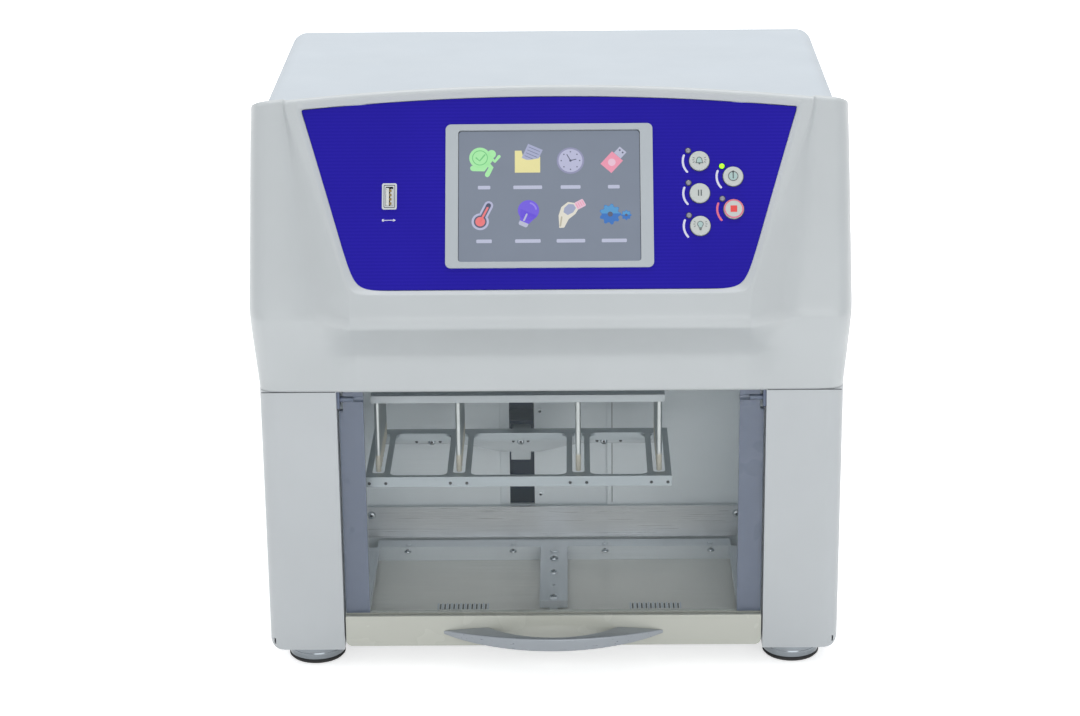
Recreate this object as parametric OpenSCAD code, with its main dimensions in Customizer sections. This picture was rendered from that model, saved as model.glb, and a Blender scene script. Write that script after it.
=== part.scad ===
// Bench-top nucleic acid extractor: a moulded head with a sloping control panel over a lit
// chamber, where a rack of magnetic rods and a sleeve rack step down into two 96-well plates.
// X runs to the right, Y to the back, Z up. The origin is on the table, under the middle.

/* [Cabinet] */
// Width of the lower body and of the top cover
body_w = 380; // [372:1:400]
// Depth from the front face of the columns to the back of the rear panel
body_d = 303; // [300:1:340]
// Height of the top cover above the table
body_h = 366; // [360:1:390]
// Height of the joint between the head and the front columns
seam_z = 195; // [192:1:205]
// Clearance under the base
foot_h = 12; // [10:0.5:18]
// Cabinet sheet thickness
sheet = 2; // [1.5:0.1:2.5]
// Wall of the moulded covers
shell = 3; // [2.4:0.1:3.5]
// Depth of the front columns
column_d = 40; // [32:1:48]
// Radius of the upright outer edges of the columns
column_r = 12; // [6:1:16]

/* [Head] */
// Width of the head moulding
head_w = 386; // [384:1:392]
// Tilt of the control panel from the vertical
panel_tilt = 32; // [28:1:36]
// Height of the middle of the display above the table
panel_z = 326; // [324:1:330]
// Width of the control panel along its top corners
panel_top_w = 316; // [310:1:320]
// Width of the control panel along its bottom edge
panel_bottom_w = 245; // [235:1:255]
// Length of the panel from the display's middle down to the bottom edge
panel_down = 61.3; // [58:0.1:64]
// Length of the panel from the display's middle up to the top corners
panel_up = 58; // [56:0.5:60]
// Rise of the arched top edge over its corners
arch_rise = 8; // [4:0.5:10]
// Corner radius at the panel's bottom
panel_r = 12.5; // [8:0.5:16]
// Width of the chamfer around the panel
border = 3.5; // [2.5:0.5:5]
// Height of the crown around the panel over its face
crown = 2.5; // [1.5:0.1:3]
// Height of the chin's most forward line
chin_z = 257; // [254:1:260]
// Radius of the chin
chin_r = 9; // [6:0.5:12]
// Depth to which the head reaches back over the cabinet
hood_back = 80; // [72:1:95]

/* [Chamber] */
// Width of the front opening
opening_w = 279; // [278:1:284]
// Distance from the front face to the chamber's back wall
chamber_d = 149; // [148:1:156]
// Height of the chamber floor above the table
floor_z = 21.3; // [20:0.1:24]
// Height of the chamber's ceiling
ceiling_z = 216; // [214:1:222]
// Sheet of the chamber lining
lining = 1.5; // [1:0.1:2]
// Height of the plate rails' upper face
rail_z = 31.6; // [30:0.2:35]

/* [Plates and rack] */
// Width of a standard 96-well plate
plate_w = 127.76; // [127.5:0.01:128.2]
// Depth of a standard 96-well plate
plate_d = 85.48; // [85:0.01:86]
// Distance from the plate's edge to the first column of wells
plate_edge = 14.38; // [14:0.01:14.6]
// Distance between neighbouring wells
well_pitch = 9; // [9:0.01:9.1]
// Wells in one column, which is the number of rods in a row
row_count = 8; // [8:1:8]
// Side clearance of a plate in its bay
plate_gap = 0.3; // [0.2:0.05:0.6]
// Distance from a plate's front edge to its first row of wells
plate_row_edge = 11.24; // [11:0.01:11.5]
// Set-back of the front of the plates from the front face
plate_front = 28.8; // [28:0.2:34]
// Height of the sleeve rack's upper face at home
sleeve_z = 125; // [122:1:128]
// Diameter of a magnetic rod
rod_d = 3.6; // [3:0.1:4.4]
// Height of the underside of the rod plate at home
rod_plate_z = 174; // [172:1:178]
// Diameter of the guide rods
guide_d = 8; // [7:0.5:9]
// Diameter of the cross rails
rail_d = 10; // [9:0.5:12]
// Travel of the sleeve rack
sleeve_travel = 47; // [40:1:48]
// Travel of the rods inside the sleeves
rod_travel = 45; // [38:1:45]

/* [Door] */
// Thickness of the door's pane
glass_t = 4; // [3:0.5:5]
// Width of the dark stiles behind the pane
stile_w = 16; // [12:1:20]
// Height of the rail along the door's bottom
rail_h = 21.6; // [18:0.2:25]
// Span of the handle from tip to tip
handle_span = 146.8; // [120:1:170]
// Reach of the handle in front of the rail
handle_out = 22; // [19:1:28]
// Depth of the handle's bar
handle_bar = 4; // [3:0.5:6]
// Height of the handle
handle_h = 9; // [7:0.5:12]
// Width of the finger gap
finger_w = 86; // [70:1:100]
// Diameter of the hinge pins
pin_d = 4; // [3:0.2:5]

/* [Controls] */
// Width of the display's lit area
display_w = 115.2; // [110:0.2:120]
// Height of the display's lit area
display_h = 86.4; // [80:0.2:90]
// Width of the frame around the display, across both sides
bezel_extra_w = 16; // [12:0.5:20]
// Height of the frame around the display, over both sides
bezel_extra_h = 8; // [6:0.5:10]
// Diameter of a push button
button_d = 12.7; // [10:0.1:14]
// Travel of a push button
button_travel = 0.8; // [0.5:0.1:1]
// Diameter of a status light
led_d = 3.2; // [2.5:0.1:4]

/* [Rear and feet] */
// Diameter of a foot
foot_d = 37; // [32:1:42]
// Distance of the feet from the middle plane
foot_x = 160; // [150:1:165]
// Side of the square fan
fan_w = 80; // [60:1:80]
// Depth of the fan
fan_d = 25; // [20:1:28]
// Distance that the fan guard stands out from the rear panel
guard_out = 4; // [3:0.5:6]

/* [Hidden] */

$fn = 48;
// A cut runs this far past the face it opens
past = 1;
// Clearances: a shaft that runs in a bore, a loose sliding part, and a seat
running = 0.05;
loose = 0.3;
seat_gap = 0.5;

// Head: the panel's own axes and the lines of its moulding
seat_flange = 3;
edge_side = 12;
edge_back = 24;
edge_top = 9;
corner_h = 30;
ridge_top = 10;
ridge_bottom = 5;
band_h = 27;
band_lean = 4;
under_turn = 53;
rim_r = 4;
rim_start = 0.5;
rim_turn = 116;
lobe_out = 24;
lobe_z = 251;
lobe_tilt = 24.5;
chin_y = (chin_r - crown + (chin_z - panel_z) * sin(panel_tilt)) / cos(panel_tilt);
chin_out = chin_r - chin_y;
front_y = (chin_out - body_d - guard_out) / 2;

// Plate bays; the rack serves columns 1 and 7 of each plate and steps on to 6 and 12
web = 5.4;
flange = 19;
flange_t = 5.4;
bay_x = web / 2 + plate_gap;
bay_end = bay_x + plate_w + plate_gap;
half_plate = 6 * well_pitch;
row_x = [
    -bay_x - plate_w + plate_edge, -bay_x - plate_w + plate_edge + half_plate,
    bay_x + plate_edge, bay_x + plate_edge + half_plate];
rack_x = (row_x[0] + row_x[3]) / 2;
rack_travel = 5 * well_pitch;
row_y = plate_front + plate_row_edge;
row_len = (row_count - 1) * well_pitch;
rail_len = plate_front + plate_d + 14;

// Racks
frame_t = 2;
frame_side = 8;
frame_front = plate_front - 1.8;
frame_back = row_y + row_len + 12;
slot_w = 8.2;
window_inset = 7.9;
lip_h = 7;
rod_plate_t = 5;
rod_plate_side = 3.5;
tip_len = 12;
rod_len = rod_plate_z - sleeve_z + 1;
arm_w = 13.4;
arm_h = 9;
rod_block_z = rod_plate_z - 9;
sleeve_block_h = 25;
sleeve_block_z = rod_block_z - rod_travel - sleeve_block_h - 5;
sleeve_arm_z = sleeve_block_z + 13;
slot_play = 2.1;
slot_bottom = sleeve_arm_z - sleeve_travel - 1;
slot_top = rod_plate_z + rod_plate_t + 17;

// Drives behind the chamber's back wall
back_t = 1.5;
shutter_y = chamber_d + back_t + 1.3;
shutter_t = 1.5;
motor_w = 42;
motor_l = 40;
side_gap = 14;
roof_gap = 24;
uprights_d = 32;
guide_y = chamber_d + 24;
guide_dx = 36;
screw_d = 8;
rod_screw_d = 6;
screw_dx = -15;
rod_screw_dx = 11;
shelf_t = 6;
shelf_z = slot_bottom - 21;
upper_z = body_h - roof_gap - motor_l - shelf_t;
plate_y = guide_y + 18;
carriage_t = 6;
carriage_half = 50;
cheek_t = 4;
rail_y = plate_y + carriage_t + uprights_d / 2;
low_rail_z = shelf_z + 12;
high_rail_z = upper_z - 18;
x_screw_z = (low_rail_z + high_rail_z) / 2;
upright_t = 6;
upright_x = body_w / 2 - sheet - side_gap - motor_l - upright_t / 2;
block_front = guide_y - 12;
sleeve_top_h = 14;
slide_plate_t = 4;
rod_block_h = 25;
small_motor_w = 35;
small_motor_l = 30;
lift_gap = 16;
sleeve_top_z = upper_z - lift_gap - small_motor_l - sleeve_top_h;

// Door
door_half = opening_w / 2 - 1;
door_bottom = foot_h + 2;
door_top = seam_z - 1.5;
door_y = 3;
hinge_y = door_y + glass_t + 0.5;
hinge_z = seam_z - 7.5;
bracket_t = 2;
notch_w = 2.6;
rail_y0 = 1;
rail_depth = 10;
groove = 4;
rail_top = door_bottom + rail_h;
stile_t = 4;

// Control panel
panel_t = 3;
backing_t = 1.5;
bezel_t = 1.2;
usb_x = -101;
usb_w = 9.4;
usb_h = 17.2;
button_at = [[95, 22], [95, 0.8], [95, -20.6], [116.2, 11.6], [116.2, -9.8]];
led_shift = 7;
button_out = 1.6;
button_flange = 1.2;
button_stem = 1.5;
button_back = -panel_t - backing_t - button_stem;
board_n = -12;

// Rear
fan_x = 95;
fan_z = 240;
inlet_x = 140;
inlet_z = 62;
inlet_w = 28;
inlet_h = 50;
inlet_flange = 5;
rocker_w = 13;
rocker_h = 19;
rocker_tilt = 8;
rocker_pin = 3;

// Colours of the finishes
light_grey = [0.80, 0.83, 0.83];
cover_blue = [0.80, 0.83, 0.86];
panel_blue = [0.20, 0.15, 0.68];
silver = [0.70, 0.73, 0.74];
steel = [0.60, 0.63, 0.65];
dark = [0.20, 0.21, 0.24];
stile_blue = [0.40, 0.45, 0.52];
cream = [0.74, 0.74, 0.70];

// ---- Placing ----

module from_front() { translate([0, front_y, 0]) children(); }
module on_panel() {
    translate([0, front_y, panel_z]) rotate([90 - panel_tilt, 0, 0]) children();
}
module both_sides() {
    children();
    mirror([1, 0, 0]) children();
}
// A block given by its lowest corner and its highest corner
module block(low, high) { translate(low) cube(high - low); }
module x_rod(x0, x1, y, z, d) { translate([x0, y, z]) rotate([0, 90, 0]) cylinder(d = d, h = x1 - x0); }
module y_rod(x, y0, y1, z, d) { translate([x, y0, z]) rotate([-90, 0, 0]) cylinder(d = d, h = y1 - y0); }
module z_rod(x, y, z0, z1, d) { translate([x, y, z0]) cylinder(d = d, h = z1 - z0); }
// A flat plate with round corners, standing on the XY plane about its middle
module rounded_plate(w, h, t, r) {
    linear_extrude(t) union() {
        square([w - 2 * r, h], center = true);
        square([w, h - 2 * r], center = true);
        for (x = [-1, 1], y = [-1, 1])
            translate([x * (w / 2 - r), y * (h / 2 - r)]) circle(r);
    }
}
// What is left outside a quarter round on an upright edge at the origin, body towards -X +Y
module edge_cutter(r, h) {
    difference() {
        translate([-r, -past, 0]) cube([r + past, r + past, h]);
        translate([-r, r, -past]) cylinder(r = r, h = h + 2 * past);
    }
}

// ---- Cabinet ----

module base_pan() {
    color(light_grey) from_front() {
        difference() {
            union() {
                block([-body_w / 2 + sheet, column_d, foot_h],
                      [body_w / 2 - sheet, body_d, foot_h + sheet]);
                block([-door_half, rail_y0 + rail_depth + 3, foot_h],
                      [door_half, column_d, foot_h + sheet]);
                both_sides()
                    block([body_w / 2 - 2 * sheet, column_d, foot_h],
                          [body_w / 2 - sheet, body_d - sheet, foot_h + 14]);
            }
            for (x = [-120 : 24 : 120])
                block([x - 1.5, 175, foot_h - past], [x + 1.5, 235, foot_h + sheet + past]);
        }
    }
}

module front_column() {
    x0 = opening_w / 2;
    x1 = body_w / 2;
    foot_r = 7;
    difference() {
        block([x0, 0, foot_h], [x1, column_d, seam_z]);
        block([x0 + shell, shell, foot_h + shell], [x1 - shell, column_d + past, seam_z - shell]);
        translate([x1, 0, foot_h - past]) edge_cutter(column_r, seam_z - foot_h + 2 * past);
        translate([x1, -past, foot_h]) rotate([-90, 0, 0]) mirror([0, 1, 0])
            edge_cutter(foot_r, column_d + 2 * past);
    }
    difference() {
        translate([x1 - column_r, column_r, foot_h + foot_r])
            cylinder(r = column_r - 0.01, h = seam_z - foot_h - foot_r - shell);
        translate([x1 - column_r, column_r, foot_h])
            cylinder(r = column_r - shell, h = seam_z - foot_h);
        block([x1 - 3 * column_r, -past, foot_h], [x1 - column_r, 3 * column_r, seam_z + past]);
        block([x1 - 3 * column_r, column_r, foot_h], [x1 + past, 3 * column_r, seam_z + past]);
    }
}
module front_column_right() { color(light_grey) from_front() front_column(); }
module front_column_left() { color(light_grey) from_front() mirror([1, 0, 0]) front_column(); }

cover_drop = 26;
module side_panel() {
    x1 = body_w / 2;
    difference() {
        block([x1 - sheet, column_d, foot_h], [x1, body_d, body_h - cover_drop]);
        block([x1 - sheet - past, column_d - past, seam_z], [x1 + past, hood_back, body_h]);
        for (k = [0 : 7]) {
            y = body_d - 90 + 9 * k;
            block([x1 - sheet - past, y, 70], [x1 + past, y + 3, 110]);
        }
    }
}
module side_panel_right() { color(light_grey) from_front() side_panel(); }
module side_panel_left() { color(light_grey) from_front() mirror([1, 0, 0]) side_panel(); }

cover_r = 12;
module top_cover() {
    y0 = hood_back - 20;
    color(cover_blue) from_front() difference() {
        block([-body_w / 2, y0, body_h - cover_drop], [body_w / 2, body_d, body_h]);
        block([-body_w / 2 + sheet, y0 - past, body_h - cover_drop - past],
              [body_w / 2 - sheet, body_d - sheet, body_h - cover_r]);
        block([-body_w / 2 + cover_r, y0 - past, body_h - cover_r - past],
              [body_w / 2 - cover_r, body_d - sheet, body_h - sheet]);
        both_sides() {
            translate([body_w / 2 - cover_r, y0 - past, body_h - cover_r]) rotate([-90, 0, 0])
                cylinder(r = cover_r - sheet, h = body_d - sheet - y0 + past);
            translate([body_w / 2, y0 - past, body_h]) rotate([-90, 0, 0])
                edge_cutter(cover_r, body_d - y0 + 2 * past);
        }
    }
}

module rear_panel() {
    color(light_grey) from_front() difference() {
        block([-body_w / 2 + sheet, body_d - sheet, foot_h + sheet],
              [body_w / 2 - sheet, body_d, body_h - cover_drop]);
        block([inlet_x - inlet_w / 2, body_d - sheet - past, inlet_z - inlet_h / 2],
              [inlet_x + inlet_w / 2, body_d + past, inlet_z + inlet_h / 2]);
        y_rod(fan_x, body_d - sheet - past, body_d + past, fan_z, fan_w - 4);
        for (row = [0 : 1], k = [0 : 9])
            translate([-150 + 12 * k, body_d - sheet / 2, 170 + 70 * row])
                cube([4, 2 * sheet, 50], center = true);
    }
}

// ---- Head moulding ----

// Half width of the control panel at a distance up its face
function panel_half(s) = panel_bottom_w / 2
    + (panel_top_w - panel_bottom_w) / 2 * (s + panel_down) / (panel_up + panel_down);
// Top edge of the panel, an arch over its two corners
function arch(x) = panel_up + arch_rise * (1 - pow(x / (panel_top_w / 2), 2));
// A point on the panel's axes as set-back from the front face and height
function panel_point(s, n) = [
    s * sin(panel_tilt) - n * cos(panel_tilt), panel_z + s * cos(panel_tilt) + n * sin(panel_tilt)];
function mix(a, b, k) = a + (b - a) * k;
function ease(k) = let (t = min(1, max(0, k))) t * t * (3 - 2 * t);

ROWS = 23;
ROW_CHIN = 5;
ROW_LOW = 11;
ROW_HIGH = 16;
ROW_RIM = 18;
arc_steps = 4;
function chin_point(k) = let (a = -under_turn + (panel_tilt + under_turn) * k / arc_steps)
    [chin_y - chin_r * cos(a), chin_z + chin_r * sin(a)];
function rim_point(k, x) = let (
        a = panel_tilt + (rim_turn - panel_tilt) * k / arc_steps,
        c = panel_point(arch(x) + border + rim_start, crown - rim_r))
    [c[0] - rim_r * cos(a), c[1] + rim_r * sin(a)];
// Distance up the panel of a row, for the columns that follow the panel's edge
function row_s(j) = j <= 10 ? -panel_down - border
    : j == 11 ? -panel_down
    : j == 12 ? -panel_down + panel_r
    : j < ROW_HIGH ? mix(-panel_down + panel_r, panel_up, (j - 12) / (ROW_HIGH - 12))
    : panel_up;
// The middle line of the head, from the joint up over the chin, the panel and the rim
function line_point(j, x, n) =
    j == 0 ? [0, seam_z]
    : j == 1 ? [-band_lean / 2, seam_z + band_h / 2]
    : j == 2 ? [-band_lean * 0.85, seam_z + band_h - 4]
    : j == 3 ? [-band_lean - 4, seam_z + band_h + 3]
    : j == 4 ? mix([-band_lean - 4, seam_z + band_h + 3], chin_point(0), 0.5)
    : j <= ROW_CHIN + arc_steps ? chin_point(j - ROW_CHIN)
    : j == 10 ? panel_point(-panel_down - border, n)
    : j < ROW_HIGH ? panel_point(mix(row_s(j), row_s(j) + arch(x) - panel_up,
        (j - ROW_LOW) / (ROW_HIGH - ROW_LOW)), n)
    : j == ROW_HIGH ? panel_point(arch(x), n)
    : j == ROW_HIGH + 1 ? panel_point(arch(x) + border, n)
    : j <= ROW_RIM + arc_steps ? rim_point(j - ROW_RIM, x)
    : [hood_back, body_h + shell];

// Columns, from the middle to the side: along the panel, its chamfer, the crown's ridge,
// the flank, the valley, the side lobe and its rounded edge
panel_steps = [0, 0.2, 0.4, 0.6, 0.8];
COLS = 17;
COL_EDGE = 6;
COL_RIDGE = 8;
COL_VALLEY = 11;
edge_start = head_w / 2 - edge_side;
function low_taper(z) = min(1, max(0, (z - seam_z) / (chin_point(0)[1] - seam_z)));
function ridge_x(j) = panel_half(row_s(j)) + mix(ridge_bottom, ridge_top,
    (row_s(j) + panel_down) / (panel_up + panel_down));
function valley_x(z) = 147 + 20 * ease((z - seam_z) / (panel_z - seam_z));
function side_scale(z) = mix(body_w / head_w, 1, low_taper(z));
function column_x(i, j, z) = let (e = panel_half(row_s(j)))
    i < len(panel_steps) ? panel_steps[i] * e
    : i == len(panel_steps) ? e - panel_r
    : i == COL_EDGE ? e
    : i == COL_EDGE + 1 ? e + border
    : i <= COL_VALLEY ? mix(ridge_x(j), max(valley_x(z), ridge_x(j) + 2),
        (i - COL_RIDGE) / (COL_VALLEY - COL_RIDGE))
    : side_scale(z) * (i == COL_VALLEY + 1 ? edge_start
        : edge_start + edge_side * sin(90 * (i - COL_VALLEY - 1) / (COLS - COL_VALLEY - 1)));

function side_lobe(z) = let (
        a = -lobe_out * (z - seam_z) / (lobe_z - seam_z),
        b = -lobe_out + (z - lobe_z) * tan(lobe_tilt),
        h = max(0, 6 - abs(a - b)) / 6)
    max(a, b) + h * h * 6 / 4;
corner_cut = 0.16;
function head_point(i, j) = let (
        on_face = j >= ROW_LOW && j <= ROW_HIGH && i <= COL_EDGE,
        n = on_face ? 0 : crown,
        z0 = line_point(j, 0, n)[1],
        x = column_x(i, j, z0),
        p = line_point(j, x, n),
        cut = i == COL_EDGE && j == ROW_LOW ? corner_cut * panel_r
            : i == COL_EDGE + 1 && j == ROW_LOW - 1 ? corner_cut * (panel_r + border) : 0,
        fade = j > ROW_RIM + arc_steps ? 0 : 1,
        k = ease((i - COL_RIDGE) / (COL_VALLEY - COL_RIDGE)),
        rim = line_point(ROW_RIM, x, crown),
        top = j > ROW_RIM ? 1 : ease(1 + (p[1] - rim[1]) / corner_h),
        drop = j > ROW_RIM ? side_lobe(rim[1]) - rim[0] : side_lobe(p[1]) - p[0],
        q = max(0, x / side_scale(z0) - edge_start) / edge_side,
        round = 1 - sqrt(max(0, 1 - q * q)),
        back = mix(edge_side, edge_back, low_taper(z0)))
    [x - cut, p[0] + k * drop * fade + round * back * fade + cut * sin(panel_tilt),
     p[1] - round * edge_top * top + cut * cos(panel_tilt)];
// Direction through the wall at a row
function wall_way(j) = j == 0 ? [1, 0] : j == ROWS ? [0, -1]
    : let (t = line_point(j + 1, 0, crown) - line_point(j - 1, 0, crown)) [t[1], -t[0]] / norm(t);
// The wall draws in across the head from nothing at the panel's edge to its thickness at the sides
function inner_scale(i) = 1 - shell / (head_w / 2) * max(0, i - COL_EDGE) / (COLS - COL_EDGE);
function inner_point(i, j) = let (p = head_point(i, j), w = wall_way(j))
    [p[0] * inner_scale(i), p[1] + shell * w[0], p[2] + shell * w[1]];
function side_point(i, j, inner) = let (
        p = inner ? inner_point(abs(i), j) : head_point(abs(i), j))
    [i < 0 ? -p[0] : p[0], p[1], p[2]];

module head_cover() {
    half_w = head_w / 2;
    wide = 2 * COLS + 1;
    tall = ROWS + 1;
    layer = wide * tall;
    kink_z = chin_point(0)[1];
    grid = [for (inner = [false, true], i = [-COLS : COLS], j = [0 : ROWS]) side_point(i, j, inner)];
    // Back corners of the two cheeks: left outer, right outer, left inner, right inner
    corners = [for (inner = [false, true], s = [-1, 1], z = [seam_z, kink_z])
        [s * (half_w - (inner ? shell : 0)) * side_scale(z), hood_back, z]];
    function at(i, j, inner) = (inner ? layer : 0) + (i + COLS) * tall + j;
    function corner(s, up, inner) = 2 * layer + (inner ? 4 : 0) + (s > 0 ? 2 : 0) + (up ? 1 : 0);
    function open_cell(i, j) = i >= -COL_EDGE && i < COL_EDGE && j >= ROW_LOW && j < ROW_HIGH;
    function turned(f, flip) = flip ? [for (k = [len(f) - 1 : -1 : 0]) f[k]] : f;
    function quad(a, b, c, d) = [[a, b, c], [a, c, d]];
    skin = [for (inner = [false, true], i = [-COLS : COLS - 1], j = [0 : ROWS - 1])
        if (!open_cell(i, j)) each [for (f = quad(at(i, j, inner), at(i, j + 1, inner),
            at(i + 1, j + 1, inner), at(i + 1, j, inner))) turned(f, inner)]];
    cheeks = [for (inner = [false, true], s = [-1, 1]) each [
        turned(concat([for (j = [ROW_CHIN : ROWS]) at(s * COLS, j, inner)], [corner(s, true, inner)]),
            (s > 0) == inner),
        turned(concat([for (j = [0 : ROW_CHIN]) at(s * COLS, j, inner)],
            [corner(s, true, inner), corner(s, false, inner)]), (s > 0) == inner)]];
    // Edges of the wall: round the open bottom and back, then round the panel's opening
    rim_loop = concat(
        [for (i = [-COLS : COLS]) [i, 0]], [[COLS + 1, 0], [COLS + 1, 1]],
        [for (i = [COLS : -1 : -COLS]) [i, ROWS]], [[-COLS - 1, 1], [-COLS - 1, 0]]);
    function loop_at(p, inner) = abs(p[0]) > COLS ? corner(p[0], p[1] == 1, inner) : at(p[0], p[1], inner);
    hole_loop = concat(
        [for (i = [-COL_EDGE : COL_EDGE - 1]) [i, ROW_LOW]],
        [for (j = [ROW_LOW : ROW_HIGH - 1]) [COL_EDGE, j]],
        [for (i = [COL_EDGE : -1 : -COL_EDGE + 1]) [i, ROW_HIGH]],
        [for (j = [ROW_HIGH : -1 : ROW_LOW + 1]) [-COL_EDGE, j]]);
    function wall(loop, flip) = [for (k = [0 : len(loop) - 1]) let (
            a = loop[k], b = loop[(k + 1) % len(loop)])
        each [for (f = quad(loop_at(a, false), loop_at(b, false), loop_at(b, true), loop_at(a, true)))
            turned(f, flip)]];
    color(light_grey) from_front()
        polyhedron(concat(grid, corners),
            concat(skin, cheeks, wall(rim_loop, false), wall(hole_loop, true)), convexity = 8);
}

// ---- Control panel ----

// Outline of the panel, drawn in by a gap: round bottom corners, an arched top
function arc_points(c, r, a0, a1, n) = [for (k = [0 : n]) let (a = mix(a0, a1, k / n))
    [c[0] + r * cos(a), c[1] + r * sin(a)]];
// The panel's corners are rounder than those of its opening, so that they clear them
corner_ease = 5.2;
side_lean = atan((panel_top_w - panel_bottom_w) / 2 / (panel_up + panel_down));
function panel_outline(gap) = let (
        r = panel_r + corner_ease,
        low = -panel_down + gap,
        cx = panel_half(low + r) - (gap + r) / cos(side_lean),
        half = panel_half(panel_up) - gap / cos(side_lean),
        right = arc_points([cx, low + r], r, -90, -side_lean, 8),
        top = [for (k = [0 : 16]) let (x = half * (1 - k / 8)) [x, arch(x) - gap]])
    concat(right, top, [for (k = [len(right) - 1 : -1 : 0]) [-right[k][0], right[k][1]]]);

module control_panel() {
    color(panel_blue) on_panel() difference() {
        union() {
            translate([0, 0, -panel_t]) linear_extrude(panel_t) polygon(panel_outline(seat_gap));
            translate([0, 0, -panel_t - backing_t]) linear_extrude(backing_t)
                polygon(panel_outline(-seat_flange));
        }
        cube([display_w + 5, display_h + 4, 4 * panel_t], center = true);
        translate([usb_x, 0, 0]) cube([usb_w - 2, usb_h - 2, 4 * panel_t], center = true);
        for (b = button_at) {
            translate([b[0], b[1], -3 * panel_t]) cylinder(d = button_d + 2 * loose, h = 6 * panel_t);
            translate([b[0] - led_shift, b[1] + led_shift, -3 * panel_t])
                cylinder(d = led_d, h = 6 * panel_t);
        }
    }
}

module screen_bezel() {
    color(silver) on_panel() difference() {
        union() {
            rounded_plate(display_w + bezel_extra_w, display_h + bezel_extra_h, bezel_t, 3.5);
            translate([-display_w / 2 - 2.5, -display_h / 2 - 2, -panel_t])
                cube([display_w + 5, display_h + 4, panel_t]);
        }
        translate([0, 0, -panel_t - past]) rounded_plate(display_w, display_h, 3 * panel_t, 2);
    }
}

module display_module() {
    module_t = 9;
    color(dark) on_panel() {
        translate([0, 0, -panel_t - backing_t - module_t])
            rounded_plate(display_w + 22, display_h + 16, module_t, 2);
        translate([0, 0, -panel_t - backing_t])
            rounded_plate(display_w - 2 * running, display_h - 2 * running, panel_t + backing_t - 0.8, 2.5);
    }
}

module usb_port() {
    wall = 0.5;
    mouth_w = 5.2;
    mouth_h = 12.6;
    depth = 14;
    color(silver) on_panel() translate([usb_x, 0, 0]) {
        difference() {
            union() {
                rounded_plate(usb_w, usb_h, 1, 1.2);
                translate([0, 0, -depth]) linear_extrude(depth)
                    square([mouth_w + 2 * wall, mouth_h + 2 * wall], center = true);
            }
            translate([0, 0, -depth + wall]) linear_extrude(2 * depth)
                square([mouth_w, mouth_h], center = true);
        }
        translate([mouth_w / 2 - 2.2, -mouth_h / 2 + 0.8, -depth]) cube([1.8, mouth_h - 1.6, depth - 1]);
    }
}

module status_leds() {
    color(silver) on_panel() for (b = button_at)
        translate([b[0] - led_shift, b[1] + led_shift, board_n]) {
            cylinder(d = led_d, h = -board_n + 0.4);
            cylinder(d = led_d + 1, h = 2);
        }
}

module button(at) {
    bevel = 0.5;
    color(silver) on_panel() translate([at[0], at[1], 0]) {
        translate([0, 0, button_back]) cylinder(d = button_d, h = button_out - bevel - button_back);
        translate([0, 0, button_out - bevel]) cylinder(d1 = button_d, d2 = button_d - 2 * bevel, h = bevel);
        translate([0, 0, button_back + 0.1]) cylinder(d = button_d + 2.4, h = button_flange);
    }
}
module button_bell() { button(button_at[0]); }
module button_pause() { button(button_at[1]); }
module button_lamp() { button(button_at[2]); }
module button_start() { button(button_at[3]); }
module button_stop() { button(button_at[4]); }

module circuit_boards() {
    board_t = 1.6;
    color("darkgreen") {
        on_panel() {
            translate([82, -36, board_n - board_t]) cube([48, 72, board_t]);
            for (b = button_at) translate([b[0] - 3, b[1] - 3, board_n])
                cube([6, 6, button_back - button_travel - 0.4 - board_n]);
            for (y = [-33, 33]) translate([126, y, board_n])
                cylinder(d = 6, h = -panel_t - backing_t - board_n);
        }
        from_front() {
            y0 = body_d - sheet - 10 - board_t;
            block([-165, y0, 130], [-5, y0 + board_t, 300]);
            for (x = [-160, -10], z = [135, 295]) y_rod(x, y0 + board_t, body_d - sheet, z, 7);
            for (k = [0 : 3]) block([-155 + 36 * k, y0 - 14, 250], [-135 + 36 * k, y0, 285]);
            block([-120, y0 - 6, 170], [-80, y0, 210]);
        }
    }
}

// ---- Rear ----

module power_supply() {
    supply_gap = 22;
    y0 = rail_y + uprights_d / 2 + supply_gap;
    y1 = body_d - sheet - 4;
    z0 = foot_h + sheet;
    color(steel) from_front() difference() {
        block([-165, y0, z0], [-5, y1, z0 + 98]);
        for (k = [0 : 15]) translate([-150 + 9 * k, (y0 + y1) / 2, z0 + 98])
            cube([4, y1 - y0 - 16, 4], center = true);
    }
}

module power_inlet() {
    color(dark) from_front() translate([inlet_x, body_d, inlet_z]) {
        pin_gap = 14;
        difference() {
            union() {
                block([-inlet_w / 2 - inlet_flange, 0, -inlet_h / 2 - inlet_flange],
                      [inlet_w / 2 + inlet_flange, 2.5, inlet_h / 2 + inlet_flange]);
                block([-inlet_w / 2, -28, -inlet_h / 2], [inlet_w / 2, 0, inlet_h / 2]);
            }
            block([-12, -17, -inlet_h / 2 + 3], [12, 2.5 + past, -inlet_h / 2 + 19]);
            block([-rocker_h / 2 - loose, -14, inlet_h / 2 - 4 - rocker_w],
                  [rocker_h / 2 + loose, 2.5 + past, inlet_h / 2 - 4 + 2 * loose]);
            x_rod(-rocker_h / 2 - 2, rocker_h / 2 + 2, -4, inlet_h / 2 - 4 - rocker_w / 2 + loose,
                rocker_pin);
        }
        for (p = [[-pin_gap / 2, 9], [pin_gap / 2, 9], [0, 13]])
            block([p[0] - 2, -28, -inlet_h / 2 + p[1] - 1], [p[0] + 2, -5, -inlet_h / 2 + p[1] + 1]);
    }
}

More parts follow.
